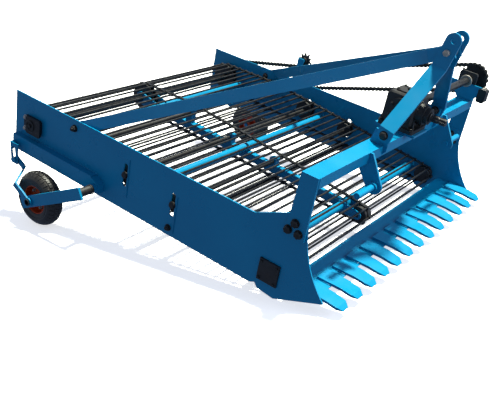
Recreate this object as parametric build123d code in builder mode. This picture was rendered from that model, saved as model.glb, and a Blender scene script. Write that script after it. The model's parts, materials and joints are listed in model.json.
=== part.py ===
from build123d import *
import os
from math import asin, atan2, cos, degrees, hypot, pi, radians, sin, tan

# A mounted potato digger, two rows wide. +X is the direction of travel, +Y the machine's left, +Z up.
# The origin is on the floor under the middle of the whole machine. Millimetres.
#
# The frame is pitched nose down about Y. Its side views are drawn in frame coordinates: u forward along
# the top edge of a side plate and w square to it, upward, both from the plate's rear top corner. Pairs
# (u, w) below are such places.
os.makedirs("parts", exist_ok=True)

# --- stance
PITCH = 10.6            # degrees, nose down, as the machine parks on its wheels and runner corners
REAR_TOP_X = -977.0     # the side plates' rear top corner, fore and aft of the origin

# --- side plates
FRAME_WIDTH = 1650.0    # over the outer faces of the two side plates
PLATE = 6.0             # side plate thickness
PLATE_DEPTH = 330.0     # side plate height behind the share
KEEL = -PLATE_DEPTH     # w of the bottom edge: what hangs between the plates is placed above it
RUNNER = (1705.0, KEEL - 16.0)  # the lowest corner, which stands on the floor
HEEL = ((1619.0, KEEL - 7.0), (1601.0, KEEL + 13.0), (1573.0, KEEL))  # the step behind the runner
TOP_STRAIGHT = 1535.0   # length of the straight top edge, before it rises to the legs
SHOULDER = (1702.0, 78.0)   # where it meets the leg
CREST = (1770.0, 82.0)
BROW = (1791.0, 42.0)   # upper end of the front edge's bow, a point on the bow, and its lower end
WAIST = (1811.0, -50.0)
TOE = (1936.0, KEEL + 85.0)
SLOT_RIBS = ((820.0, KEEL + 271.0, KEEL + 71.0), (1126.0, KEEL + 214.0, KEEL + 21.0))  # u, top, bottom
RIB_WIDTH = 4.0
RIB_RISE = 4.0

# --- hitch beam and portal legs
BEAM_LENGTH_U = 80.0    # hitch beam section, fore and aft
BEAM_HEIGHT = 50.0
BEAM_WALL = 6.0
BEAM_U = 1751.0         # centre of the hitch beam
BEAM_TOP = 272.0
LEG = 12.0              # portal leg thickness
LEG_FOOT = (1686.0, -18.0)  # rear lower corner
LEG_BOLTS = ((1737.0, 49.0), (1710.0, 10.0), (1761.0, 8.0))
LEG_BOLT_HOLE = 17.0

# --- share
SHARE_TOP = KEEL + 90.0  # w of the share plate's upper face
SHARE_REAR = 1740.0
SHARE_FRONT = 1893.0
SHARE_THICK = 10.0
SHARE_BEVEL = 4.0
TINE_COUNT = 13
TINE_END_GAP = 2.0      # between the outer tines and the side plates
TINE_WIDTH = 90.0
TINE_THICK = 12.0
TINE_REAR = 1820.0
TINE_BEND = 1935.0      # where the tine's point turns down
TINE_TIP = 2015.0
TINE_DROOP = 7.0        # degrees that the point turns down
TINE_DRAW = 6.0         # each side's narrowing from root to point
TIP_WIDTH = 42.0
TIP_TAPER = 26.0        # length of the cut corners at the tip
TIP_EDGE = 3.0          # thickness left at the very tip
TIP_BEVEL = 22.0        # length of the bevel behind it

# --- three-point hitch, category 2
LINK_SPAN = 825.0       # over the outer faces of the two lower link plates
LINK_PLATE = 12.0
LINK_PIN = (1845.0, 133.0)
LINK_PIN_DIA = 28.4
LINK_PIN_LENGTH = 150.0
LINK_PIN_TAIL = 8.0     # the pin's end inside its plate
LINK_COLLAR_DIA = 44.0
LINK_COLLAR = 16.0
LINK_EYE = 37.0         # radius of the plate round the pin
LINK_LIP = 14.0         # the plate's width ahead of the beam
LINK_TUCK = 50.0        # its length under the beam
MAST_U = 1772.0         # mast centre line where it meets the beam's top
MAST_LEAN = 12.2        # degrees forward of square to the frame
MAST_BAR = 72.0         # mast bar width
MAST_THICK = 12.0
MAST_FOOT_Y = 291.0     # middle of the foot's thickness, from the centre line
MAST_TOP_Y = 45.0       # middle of the upper part's thickness
MAST_FOOT = 22.0        # heights along the mast from the beam's top: the bar's lower end
MAST_FOOT_BOLT = 50.0
MAST_BEND_LOW = 80.0
MAST_BEND_HIGH = 350.0
MAST_BOLT = 422.0       # the braces' bolt
MAST_HEAD = 35.5        # radius of the bar's rounded upper end
MAST_HOLE = 479.0       # the top link's pin
MAST_HOLE_DIA = 25.7
BOLT_HOLE = 21.0        # clearance hole for the M20 bolts of mast and braces
LUG = 12.0              # mast lug thickness
LUG_REAR = 8.0          # the lug's foot ahead of the beam's rear face
LUG_HEIGHT = 65.0       # over the beam
LUG_LIP = 17.0          # ahead of the beam
LUG_DROP = 44.0         # down the beam's front face

# --- braces
BRACE_BAR = 60.0
BRACE_THICK = 10.0
BRACE_REAR = (440.0, -46.0)  # rear bolt
BRACE_TAIL = 36.0            # the bar's end behind the rear bolt
BRACE_HEAD = 30.0            # and beyond the front bolt
BRACE_REAR_FOOT = 70.0       # length of the straight foot ahead of the rear bolt
BRACE_FRONT_FOOT = 96.0      # the same behind the front bolt

# --- digging web: rods joined by hooked links in three lanes
ROD_DIA = 11.0
WEB_PITCH = 50.0
WEB_TEETH = 10
ROD_END_GAP = 22.0      # from a rod's end to the side plate
LANE_INSET = 34.0       # from the outer lanes' middle to the side plate
LINK_WIDTH = 17.0       # of a link's shank, across the lane
LINK_HEIGHT = 9.0
HOOK_WALL = 4.5         # round the rod, in the eye and the hook
HOOK_BACK = 11.0        # from the rod's centre to the full-width shank
HOOK_MOUTH = 8.0        # opening of the hook, narrower than the rod
MOUTH_TURN = -62.0      # degrees from the link's run down to its mouth
HOOK_GAP = 0.4          # from a hook or an eye to the lane's middle
WEB_WHEEL = 10.0        # thickness of a drive wheel's toothed discs
WHEEL_UNDERCUT = 1.0    # the discs end inside the rods' centre line
WEB_HUB = 38.0          # radius of the hub between them
ROD_SEAT = 0.2          # a rod's clearance in seats, eyes and hooks
TAKE_UP = (126.0, 156.0)  # the range of u in which the rear shaft tightens the web
REAR_SHAFT_W = KEEL + 186.0
REAR_SHAFT_DIA = 44.0
SHAFT_SLOT_EXTRA = (36.0, 12.0)  # the take-up slots are longer and wider than the shaft by this
FRONT_ROLLER = (1661.0, KEEL + 97.0)
FRONT_ROLLER_DIA = 89.0
FRONT_ROLLER_WIDTH = 60.0
FRONT_PIN_DIA = 20.0
CARRIERS = (            # name, u, w, roller diameter, side of the web that it touches, hole in the plates
    ("rear_carrier", 500.0, KEEL + 221.0, 90.0, "inside", "none"),
    ("middle_carrier", 798.0, KEEL + 183.0, 110.0, "inside", "slot"),
    ("front_carrier", 1102.0, KEEL + 162.0, 90.0, "inside", "slot"),
    ("return_carrier", 1095.0, KEEL + 40.0, 44.0, "outside", "round"),
)
CARRIER_SHAFT_DIA = 25.0
CARRIER_ROLLER_WIDTH = 50.0
CARRIER_SLOT = 120.0    # length of the setting slots
CARRIER_END = 12.0      # the shafts in slots stand out of the plates by this
ROLLER_GROOVE = 20.0    # width of the groove that clears a link chain, and its depth
GROOVE_DEPTH = 12.0

# --- cross tubes and centre beam
TUBE_DIA = 44.0
TUBE_WALL = 4.0
TUBE_GAP = 3.0          # from the web's drive wheels, at the take-up's end, to the rear tube
REAR_TUBE_W = KEEL + 164.0
MIDDLE_TUBE = (910.0, KEEL + 167.0)
FRONT_TUBE = (1560.0, KEEL + 108.0)
CENTRE_BEAM = 40.0      # square section
CENTRE_BEAM_REAR_W = KEEL + 148.0
CENTRE_BEAM_FRONT_W = KEEL + 104.0
SADDLE_RISE = 18.0      # the centre beam's posts over the carrier shafts
SADDLE_DEPTH = 80.0
FORK = 8.0              # thickness of the fork's and the hanger's plates
FORK_GAP = 70.0
TUBE_CLASP = 8.0        # of those plates round a tube
SHAFT_CLASP = 14.0      # round the rear shaft
PIN_CLASP = 12.0        # round the front roller's pin

# --- chain drive
CHAIN_PITCH = 25.4
ROLLER_DIA = 15.88
CHAIN_PIN_DIA = 8.0
CHAIN_STAND_OFF = 60.0  # from the left side plate to the middle of the chain
CHAIN_INSIDE = 8.4      # from the middle of the chain to its inner plates
CHAIN_PLATE = 2.4
CHAIN_PLAY = 0.2        # between inner and outer plates, and between pins and rollers
CHAIN_DEPTH = 22.0      # height of a link plate
ROLLER_SEAT = 0.9       # a roller's clearance in a tooth gap
TOOTH_HEIGHT = 0.26     # above the pitch line, and half a tip's width, as shares of the pitch
TOOTH_TIP = 0.10
SEAT_STEP = 40.0        # degrees between the flats of a tooth gap
SPROCKET_THICK = 15.8
HUB_LENGTH = 14.0       # of a chain wheel's hub, towards the machine
DRIVE_AXIS = (1736.0, 372.0)
FRONT_TEETH = 18
FRONT_HUB = 60.0
REAR_TEETH = 22
REAR_HUB = 80.0
IDLER = (666.0, 122.0)
IDLER_TEETH = 10
IDLER_HUB = 40.0
IDLER_BORE = 20.0
IDLER_STRAP = 10.0      # thickness of the idler's bracket
IDLER_FEET = (-45.0, 10.0)  # outer edges of its two legs from the idler's axis, at their feet
IDLER_LEG = 13.0        # width of a leg
IDLER_HEAD = 20.0       # half the size of the bracket's head
IDLER_FOOT_W = -60.0
IDLER_STUB = 8.0        # the stub's end outside the idler
SHAFT_OVERHANG = 22.0   # of the shafts beyond the chain's middle

# --- cross shaft with its bracket
CROSS_SHAFT_DIA = 38.0
BRACKET_INSET = 45.0    # from the plate's outer face to the bracket's inner face
BRACKET = 10.0
BRACKET_SPREAD = 6.0    # the bracket widens by this over the beam, up to the shoulders
BRACKET_NECK = 28.0     # half its width at the top
BRACKET_CROWN = 46.0    # over the shaft's axis
BRACKET_HOLE_GAP = 4.0
BEARING_FLANGE = 100.0  # square
BEARING_FLANGE_THICK = 12.0
BEARING_BARREL = 36.0   # radius
BEARING_THICK = 22.0
BEARING_COLLAR = 27.0   # radius
BEARING_COLLAR_LENGTH = 8.0
FLANGE_CORNER = 16.0

# --- gearbox
GEARBOX_BASE = 12.0     # mounting plate
BASE_LENGTH = 205.0
BASE_WIDTH = 150.0
BODY_LENGTH = 150.0
BODY_WIDTH = 140.0
BODY_SET_BACK = 8.0
BODY_CROWN = 80.0       # over the shaft's axis
BODY_CORNER = 22.0
BODY_CHAMFER = 7.0
FOOT_LENGTH = 180.0
FOOT_WIDTH = 164.0
FOOT_THICK = 18.0
FOOT_CORNER = 14.0
FIN_Y = 45.0            # the fins that stiffen the body over its foot
FIN_THICK = 9.0
FIN_HEIGHT = 56.0
FIN_SPREAD = 12.0       # their reach beyond the body at the foot
FIN_SINK = 1.0          # and into it at the top
LID = 96.0              # square cover on top
LID_THICK = 7.0
PLUG = 11.0             # radius of the filler plug
PLUG_HEIGHT = 10.0
OUTPUT_RADII = ((54.0, 18.0), (64.0, 12.0), (46.0, 12.0))   # radius and length, outward from the body
COVER_RADII = ((60.0, 8.0), (34.0, 6.0))    # the same on the right
INPUT_SET = 60.0        # from the shaft's axis to the input housing
INPUT_RADII = ((58.0, 10.0, 0.0), (50.0, 32.0, 7.0), (38.0, 20.0, 0.0))  # the same, and draft in degrees
PTO_DIA = 34.8
PTO_TIP = 1940.0
PTO_COLLAR = 24.0       # radius
PTO_COLLAR_LENGTH = 10.0
COUPLING = 33.0         # radius
COUPLING_LENGTH = 58.0
COUPLING_RING = 39.0
COUPLING_RING_LENGTH = 13.0
COUPLING_GAP = 2.0      # from the gearbox

# --- rear bearings and front covers
TAKE_UP_PLATE = (122.0, 84.0)
TAKE_UP_THICK = 14.0
TAKE_UP_BARREL = 36.0
TAKE_UP_BARREL_LENGTH = 10.0
COVER = (102.0, 106.0)
COVER_THICK = 12.0
COVER_CHAMFER = 3.0

# --- depth wheels
RAIL_WIDTH = 42.0
RAIL_TOP = KEEL + 110.0
RAIL_DEPTH = 75.0
RAIL_REAR = 32.0
RAIL_FRONT = 618.0
RAIL_WALL = 5.0
TYRE_DIA = 288.0
TYRE_WIDTH = 94.0
TYRE_GAP = 5.0          # from the rail's outer face to the tyre
TYRE_SHOULDER = 34.0    # from the tread in to where the sidewall begins
TYRE_CROWN = (9.0, 13.0)  # a point of the tread's arc, below the crown and in from the side
RIM_DIA = 150.0         # where the beads sit
BEAD_SEAT = 30.0        # half the seat's width
BEAD_BULGE = 16.0       # the sidewall leaves the rim at this height, and this far in from the side
BEAD_SET = 5.0
RIM_FLANGE = 10.0       # height over the bead seat
RIM_EDGE = 6.0          # width of the flange
RIM_LIP = 4.0           # thickness of the rim's well
RIM_DISH = (2.0, 6.0)   # the disc's outer face at the hub and at the rim, from the wheel's middle
DISC_THICK = 6.0
DISC_HOLES = 5
DISC_HOLE = 7.0         # radius
WHEEL_HUB = 28.0        # radius
HUB_HALF = 46.0         # half the hub's length
WHEEL_U = 323.0
AXLE_DIA = 25.0
AXLE_TAIL = 55.0        # the axle's end inside the middle of the tyre
AXLE_HEAD = 8.0         # and outside the strut
RUNNING = 0.05          # radial running clearance of pins and axles
ARM_PIVOT = (645.0, KEEL + 58.0)
ARM_BAR = 60.0
ARM_THICK = 12.0
ARM_GAP = 8.0           # from the tyre to the arm
ARM_HEAD = 34.0         # the bar's end ahead of the pivot
ARM_TAIL = 70.0         # and behind the axle
ARM_BOSS = 20.0         # radius
PIVOT_DIA = 25.0
PIVOT_BOSS = 22.0       # radius
PIVOT_BOSS_OUT = 18.0   # beyond the rail's outer face
PIVOT_PLAY = 2.0        # between the two bosses
PIVOT_PIN_SET = 4.0     # the pin's end from the side plate
PIVOT_REACH = 24.0      # the bracket's edges ahead of and below the pivot
STRUT_TOP = (90.0, KEEL - 11.0)
STRUT_BAR = 30.0
STRUT_THICK = 10.0
STRUT_STAND_OFF = 16.0  # from the rail's outer face to the middle of the strut's upper end
STRUT_PLAY = 2.0        # between the arm and the strut
STRUT_BENDS = (66.0, 138.0)  # from the top pin
STRUT_ENDS = (15.0, 16.0)    # beyond the top pin and the axle
STRUT_EYE = 22.0        # radius round the axle
STRUT_TRAVEL = 60.0     # of the setting pin in its slot
SETTING_PIN_DIA = 16.0
SETTING_HEAD = 16.0     # radius
SETTING_HEAD_GAP = 2.0  # from the bracket
SETTING_HEAD_THICK = 8.0
BRACKET_OUT = 34.0      # the setting bracket's outer face, from the rail's
BRACKET_PLATE = 6.0
BRACKET_FRONT = 112.0
BRACKET_REAR = 52.0
BRACKET_TOP_W = RAIL_TOP - 30.0
BRACKET_LOW = 22.0      # below the setting pin
SLOT_WIDTH = 24.0
SLOT_PLAY = 26.0        # the slot is longer than the travel by this

SIDES = (("right", -1), ("left", 1))

sine = sin(radians(PITCH))
cosine = cos(radians(PITCH))
rear_top_z = RUNNER[0] * sine - RUNNER[1] * cosine
half = FRAME_WIDTH / 2
inner_face = half - PLATE
rod_end = inner_face - ROD_END_GAP
lanes = (LANE_INSET - inner_face, 0.0, inner_face - LANE_INSET)
chain_y = half + CHAIN_STAND_OFF
bracket_y = half - BRACKET_INSET
rail_outer = half + RAIL_WIDTH
wheel_y = rail_outer + TYRE_GAP + TYRE_WIDTH / 2
arm_inner = wheel_y + TYRE_WIDTH / 2 + ARM_GAP
beam_rear = BEAM_U - BEAM_LENGTH_U / 2
beam_front = BEAM_U + BEAM_LENGTH_U / 2
beam_under = BEAM_TOP - BEAM_HEIGHT
web_radius = WEB_PITCH / 2 / sin(pi / WEB_TEETH)
rear_tube = (TAKE_UP[1] + web_radius + TUBE_GAP + TUBE_DIA / 2, REAR_TUBE_W)
cross_tube_places = (rear_tube, MIDDLE_TUBE, FRONT_TUBE)


def place(u, w, y=0.0):
    """A point of the frame in machine coordinates."""
    return Vector(REAR_TOP_X + u * cosine + w * sine, y, rear_top_z - u * sine + w * cosine)


def side_plane(y):
    """The plane of side views at y: local x is u, local y is w, and it faces the machine's right."""
    return Plane(origin=place(0, 0, y), x_dir=(cosine, 0, -sine), z_dir=(0, -1, 0))


def slab(sign, inner, outer):
    """The sketch plane of a piece that spans two distances from the centre line."""
    return side_plane(-inner if sign < 0 else outer)


def deck_plane(u, w):
    """A plane that faces up, square to the side plates: local x is forward and local y is +Y."""
    return Plane(origin=place(u, w), x_dir=(cosine, 0, -sine), z_dir=(sine, 0, cosine))


def turned_plane(u, w, angle, y=0.0):
    """A plane across the frame: local x is +Y, local y points at angle from u towards w."""
    direction = place(cos(radians(angle)), sin(radians(angle))) - place(0, 0)
    return Plane(origin=place(u, w, y), x_dir=(0, 1, 0), z_dir=Vector(0, 1, 0).cross(direction))


def bent_bar(points, thick):
    """The closed outline of a flat bar of this thickness bent along a line of points."""
    sides = ([], [])
    for i, (x, y) in enumerate(points):
        before = points[max(i - 1, 0)]
        after = points[min(i + 1, len(points) - 1)]
        first = atan2(y - before[1], x - before[0]) if i else None
        last = atan2(after[1] - y, after[0] - x) if i < len(points) - 1 else None
        first = last if first is None else first
        last = first if last is None else last
        normal = (first + last) / 2 + pi / 2
        reach = thick / 2 / cos((last - first) / 2)
        sides[0].append((x + reach * cos(normal), y + reach * sin(normal)))
        sides[1].append((x - reach * cos(normal), y - reach * sin(normal)))
    return sides[0] + sides[1][::-1]


def belt(pulleys):
    """The runs and arcs of a loop that goes clockwise round pulleys (u, w, radius), seen with w upward.
    A pulley on the outside of the loop has a negative radius. Each piece is ("run", start, end) or
    ("arc", centre, radius, first angle, last angle), in radians."""
    count = len(pulleys)
    leave, arrive = [], []
    for i in range(count):
        u1, w1, r1 = pulleys[i]
        u2, w2, r2 = pulleys[(i + 1) % count]
        heading = atan2(w2 - w1, u2 - u1)
        swing = asin((r1 - r2) / hypot(u2 - u1, w2 - w1))
        normal = heading + pi / 2 - swing
        leave.append((u1 + r1 * cos(normal), w1 + r1 * sin(normal), normal))
        arrive.append((u2 + r2 * cos(normal), w2 + r2 * sin(normal), normal))
    pieces = []
    for i in range(count):
        pieces.append(("run", leave[i][:2], arrive[i][:2]))
        u, w, r = pulleys[(i + 1) % count]
        first, last = arrive[i][2], leave[(i + 1) % count][2]
        turn = (first - last + pi) % (2 * pi) - pi
        turn = turn + 2 * pi if r > 0 and turn < -1e-6 else turn
        pieces.append(("arc", (u, w), r, first, first - turn))
    return pieces


def belt_length(pieces):
    total = 0.0
    for piece in pieces:
        if piece[0] == "run":
            total += hypot(piece[2][0] - piece[1][0], piece[2][1] - piece[1][1])
        else:
            total += abs(piece[2] * (piece[4] - piece[3]))
    return total


def belt_point(pieces, distance):
    """The point (u, w) at a distance along the loop."""
    for piece in pieces:
        if piece[0] == "run":
            (u1, w1), (u2, w2) = piece[1], piece[2]
            length = hypot(u2 - u1, w2 - w1)
            if distance <= length:
                share = distance / length
                return u1 + share * (u2 - u1), w1 + share * (w2 - w1)
        else:
            (u, w), r, first, last = piece[1:]
            length = abs(r * (last - first))
            if distance <= length:
                angle = first + (last - first) * distance / length
                return u + r * cos(angle), w + r * sin(angle)
        distance -= length
    return belt_point(pieces, distance)


def walk_belt(pieces, chord, count):
    """Distances along the loop of this many points, and of the one after the last, each one straight
    chord past the one before."""
    distances = [0.0]
    for i in range(count):
        u, w = belt_point(pieces, distances[-1])
        low, high = distances[-1] + 0.8 * chord, distances[-1] + 1.4 * chord
        while high - low > 1e-7:
            middle = (low + high) / 2
            u2, w2 = belt_point(pieces, middle)
            if hypot(u2 - u, w2 - w) < chord:
                low = middle
            else:
                high = middle
        distances.append(low)
    return distances


def web_belt(rear_u):
    """The loop of the web's rods, from where it meets the rear drive wheels."""
    inner = [(u, w, (roller + ROD_DIA) / 2 * (1 if touches == "inside" else -1))
             for name, u, w, roller, touches, hole in CARRIERS]
    front = FRONT_ROLLER + ((FRONT_ROLLER_DIA + ROD_DIA) / 2,)
    pieces = belt([(rear_u, REAR_SHAFT_W, web_radius)] + inner[:-1] + [front] + inner[-1:])
    return pieces[-1:] + pieces[:-1]


# the take-up sets the rear shaft where a whole number of links closes the web
low, high = TAKE_UP
rod_count = int(belt_length(web_belt((low + high) / 2)) / WEB_PITCH)
while high - low > 1e-4:
    middle = (low + high) / 2
    loop = web_belt(middle)
    if walk_belt(loop, WEB_PITCH, rod_count)[-1] < belt_length(loop):
        low = middle
    else:
        high = middle
rear_shaft_place = (low, REAR_SHAFT_W)
web_loop = web_belt(low)
rod_places = [belt_point(web_loop, distance) for distance in walk_belt(web_loop, WEB_PITCH, rod_count)[:-1]]


def pitch_radius(teeth):
    return CHAIN_PITCH / 2 / sin(pi / teeth)


def chain_belt():
    """The loop of the drive chain's pins, which goes under the idler."""
    return belt((rear_shaft_place + (pitch_radius(REAR_TEETH),), IDLER + (-pitch_radius(IDLER_TEETH),),
                 DRIVE_AXIS + (pitch_radius(FRONT_TEETH),)))


# the chain's even number of links closes by a little slack, shared out between them
chain_loop = chain_belt()
link_count = 2 * round(belt_length(chain_loop) / CHAIN_PITCH / 2)
low, high = 0.98 * CHAIN_PITCH, 1.02 * CHAIN_PITCH
while high - low > 1e-7:
    middle = (low + high) / 2
    if walk_belt(chain_loop, middle, link_count)[-1] < belt_length(chain_loop):
        low = middle
    else:
        high = middle
chain_step = low
pin_places = [belt_point(chain_loop, distance)
              for distance in walk_belt(chain_loop, chain_step, link_count)[:-1]]


def tooth_gap_angle(centre, teeth):
    """The direction from a chain wheel's centre to the pin that lies deepest in its teeth."""
    gaps = []
    for u, w in pin_places:
        across, up = u - centre[0], w - centre[1]
        gaps.append((abs(hypot(across, up) - pitch_radius(teeth)), atan2(up, across)))
    seated = [angle for depth, angle in gaps if depth < min(gaps)[0] + 0.01]
    return seated[len(seated) // 2]


def sprocket_outline(centre, teeth):
    """The outline of a chain wheel: teeth between round gaps for the chain's rollers, in flats."""
    radius = pitch_radius(teeth)
    seat = (ROLLER_DIA / 2 + ROLLER_SEAT) / cos(radians(SEAT_STEP / 2))
    tip = radius + TOOTH_HEIGHT * CHAIN_PITCH
    step = 2 * pi / teeth
    points = []
    for i in range(teeth):
        angle = tooth_gap_angle(centre, teeth) + i * step
        for k in (2, 1, 0, -1, -2):
            flat = angle + pi + k * radians(SEAT_STEP)
            points.append((centre[0] + radius * cos(angle) + seat * cos(flat),
                           centre[1] + radius * sin(angle) + seat * sin(flat)))
        for share in (0.5 - TOOTH_TIP, 0.5 + TOOTH_TIP):
            turn = angle + share * step
            points.append((centre[0] + tip * cos(turn), centre[1] + tip * sin(turn)))
    return points


# === side plates: flat plates with a swept front edge, roller slots, bearing holes and slot ribs
for side, sign in SIDES:
    with BuildPart() as side_plate:
        with BuildSketch(slab(sign, inner_face, half)):
            with BuildLine():
                Polyline((0, KEEL), (0, 0), (TOP_STRAIGHT, 0), SHOULDER, CREST, BROW)
                ThreePointArc(BROW, WAIST, TOE)
                Polyline(TOE, RUNNER, *HEEL, (0, KEEL))
            make_face()
            for name, u, w, roller, touches, hole in CARRIERS:
                with Locations((u, w)):
                    if hole == "slot":
                        SlotOverall(CARRIER_SLOT, CARRIER_SHAFT_DIA, rotation=90, mode=Mode.SUBTRACT)
                    elif hole == "round":
                        Circle(CARRIER_SHAFT_DIA / 2, mode=Mode.SUBTRACT)
            with Locations(rear_shaft_place):
                SlotOverall(REAR_SHAFT_DIA + SHAFT_SLOT_EXTRA[0], REAR_SHAFT_DIA + SHAFT_SLOT_EXTRA[1],
                            mode=Mode.SUBTRACT)
            with Locations(FRONT_ROLLER):
                Circle(FRONT_PIN_DIA / 2, mode=Mode.SUBTRACT)
            with Locations(BRACE_REAR):
                Circle(BOLT_HOLE / 2, mode=Mode.SUBTRACT)
            with Locations(*LEG_BOLTS):
                Circle(LEG_BOLT_HOLE / 2, mode=Mode.SUBTRACT)
        extrude(amount=PLATE)
        with BuildSketch(slab(sign, half, half + RIB_RISE)):
            for u, top, bottom in SLOT_RIBS:
                with Locations((u, (top + bottom) / 2)):
                    Rectangle(RIB_WIDTH, top - bottom)
        extrude(amount=RIB_RISE)
    side_plate.part.label = f"side_plate_{side}"
    export_step(side_plate.part, f"parts/side_plate_{side}.step")

# === hitch beam: a rectangular tube between the portal legs
with BuildPart() as hitch_beam:
    with BuildSketch(side_plane(half)):
        with Locations((BEAM_U, BEAM_TOP - BEAM_HEIGHT / 2)):
            Rectangle(BEAM_LENGTH_U, BEAM_HEIGHT)
            Rectangle(BEAM_LENGTH_U - 2 * BEAM_WALL, BEAM_HEIGHT - 2 * BEAM_WALL, mode=Mode.SUBTRACT)
    extrude(amount=FRAME_WIDTH)
hitch_beam.part.label = "hitch_beam"
export_step(hitch_beam.part, "parts/hitch_beam.step")

# === portal legs: plates that carry the beam, bolted on the side plates' outer faces
for side, sign in SIDES:
    with BuildPart() as leg:
        with BuildSketch(slab(sign, half, half + LEG)):
            with BuildLine():
                Polyline((beam_rear, BEAM_TOP), (beam_front, BEAM_TOP), (beam_front, LEG_FOOT[1]), LEG_FOOT,
                         SHOULDER, (beam_rear, BEAM_TOP))
            make_face()
            with Locations(*LEG_BOLTS):
                Circle(LEG_BOLT_HOLE / 2, mode=Mode.SUBTRACT)
        extrude(amount=LEG)
    leg.part.label = f"portal_leg_{side}"
    export_step(leg.part, f"parts/portal_leg_{side}.step")

# === share: a flat plate between the side plates, with pointed tines welded on it
share_under = SHARE_TOP - SHARE_THICK
with BuildPart() as share_plate:
    with BuildSketch(side_plane(inner_face)):
        with BuildLine():
            Polyline((SHARE_REAR, SHARE_TOP), (SHARE_FRONT, SHARE_TOP),
                     (SHARE_FRONT - SHARE_BEVEL, share_under), (SHARE_REAR, share_under), close=True)
        make_face()
    extrude(amount=2 * inner_face)
share_plate.part.label = "share_plate"
export_step(share_plate.part, "parts/share_plate.step")

tine_pitch = (2 * inner_face - 2 * TINE_END_GAP - TINE_WIDTH) / (TINE_COUNT - 1)
drop = (TINE_TIP - TINE_BEND) * tan(radians(TINE_DROOP))
tine_top = SHARE_TOP + TINE_THICK
half_root = TINE_WIDTH / 2
half_draw = half_root - TINE_DRAW
with BuildPart() as tine:
    with BuildSketch(side_plane(half_root)):
        with BuildLine():
            bevel_drop = drop * (TINE_TIP - TIP_BEVEL - TINE_BEND) / (TINE_TIP - TINE_BEND)
            Polyline((TINE_REAR, SHARE_TOP), (TINE_BEND, SHARE_TOP), (TINE_TIP, SHARE_TOP - drop),
                     (TINE_TIP, SHARE_TOP - drop + TIP_EDGE), (TINE_TIP - TIP_BEVEL, tine_top - bevel_drop),
                     (TINE_BEND, tine_top), (TINE_REAR, tine_top), close=True)
        make_face()
    extrude(amount=TINE_WIDTH)
    with BuildSketch(deck_plane(0, SHARE_TOP - 2 * drop)):
        with BuildLine():
            Polyline((TINE_REAR, -half_root), (TINE_TIP - TIP_TAPER, -half_draw), (TINE_TIP, -TIP_WIDTH / 2),
                     (TINE_TIP, TIP_WIDTH / 2), (TINE_TIP - TIP_TAPER, half_draw), (TINE_REAR, half_root),
                     close=True)
        make_face()
    extrude(amount=2 * drop + 2 * TINE_THICK, mode=Mode.INTERSECT)
with BuildPart() as share_tines:
    for i in range(TINE_COUNT):
        add(tine.part.moved(Location((0, (i - (TINE_COUNT - 1) / 2) * tine_pitch, 0))))
share_tines.part.label = "share_tines"
export_step(share_tines.part, "parts/share_tines.step")

# === lower link plates: round the pins and cut out to sit on the beam's front and underside
link_outer = LINK_SPAN / 2
with BuildPart() as link_plates:
    for side, sign in SIDES:
        with BuildSketch(slab(sign, link_outer - LINK_PLATE, link_outer)):
            with Locations(LINK_PIN):
                Circle(LINK_EYE)
            with Locations((beam_front + LINK_LIP / 2, BEAM_TOP - BEAM_HEIGHT / 2)):
                Rectangle(LINK_LIP, BEAM_HEIGHT)
            with Locations((beam_front - LINK_TUCK / 2, beam_under - LINK_LIP / 2)):
                Rectangle(LINK_TUCK, LINK_LIP)
            make_hull()
            with Locations((BEAM_U, BEAM_TOP - BEAM_HEIGHT / 2)):
                Rectangle(BEAM_LENGTH_U, BEAM_HEIGHT, mode=Mode.SUBTRACT)
            with Locations(LINK_PIN):
                Circle(LINK_PIN_DIA / 2, mode=Mode.SUBTRACT)
        extrude(amount=LINK_PLATE)
link_plates.part.label = "lower_link_plates"
export_step(link_plates.part, "parts/lower_link_plates.step")

for side, sign in SIDES:
    pin_root = link_outer - LINK_PLATE - LINK_PIN_TAIL
    with BuildPart() as link_pin:
        with BuildSketch(slab(sign, pin_root, link_outer + LINK_PIN_LENGTH)):
            with Locations(LINK_PIN):
                Circle(LINK_PIN_DIA / 2)
        extrude(amount=link_outer + LINK_PIN_LENGTH - pin_root)
        with BuildSketch(slab(sign, link_outer, link_outer + LINK_COLLAR)):
            with Locations(LINK_PIN):
                Circle(LINK_COLLAR_DIA / 2)
        extrude(amount=LINK_COLLAR)
    link_pin.part.label = f"lower_link_pin_{side}"
    export_step(link_pin.part, f"parts/lower_link_pin_{side}.step")

# === mast: two bent flat bars that lean together into a clevis for the top link
lean = radians(MAST_LEAN)


def mast_point(height):
    """(u, w) on the mast's centre line at a height above the beam's top."""
    return MAST_U + height * sin(lean), BEAM_TOP + height * cos(lean)


with BuildPart() as mast_left:
    with BuildSketch(turned_plane(*mast_point(0), 90 - MAST_LEAN).offset(-MAST_BAR / 2)):
        with BuildLine():
            Polyline(*bent_bar(((MAST_FOOT_Y, MAST_FOOT), (MAST_FOOT_Y, MAST_BEND_LOW),
                                (MAST_TOP_Y, MAST_BEND_HIGH), (MAST_TOP_Y, MAST_HOLE + MAST_BAR / 2)),
                               MAST_THICK), close=True)
        make_face()
    extrude(amount=MAST_BAR)
    with BuildSketch(side_plane(MAST_TOP_Y + MAST_THICK)):
        with Locations(mast_point(MAST_HOLE)):
            Circle(MAST_HOLE_DIA / 2)
        with Locations(mast_point(MAST_BOLT)):
            Circle(BOLT_HOLE / 2)
    extrude(amount=2 * MAST_THICK, mode=Mode.SUBTRACT)
    with BuildSketch(side_plane(MAST_FOOT_Y + MAST_THICK)):
        with Locations(mast_point(MAST_FOOT_BOLT)):
            Circle(BOLT_HOLE / 2)
    extrude(amount=2 * MAST_THICK, mode=Mode.SUBTRACT)
    ends = mast_left.edges().filter_by(Axis.Y).sort_by(Axis.Z)[-2:]
    fillet(ends, MAST_HEAD)
with BuildPart() as mast_right:
    mirror(mast_left.part, about=Plane.XZ)
for side, arm in (("left", mast_left), ("right", mast_right)):
    arm.part.label = f"mast_arm_{side}"
    export_step(arm.part, f"parts/mast_arm_{side}.step")

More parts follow.
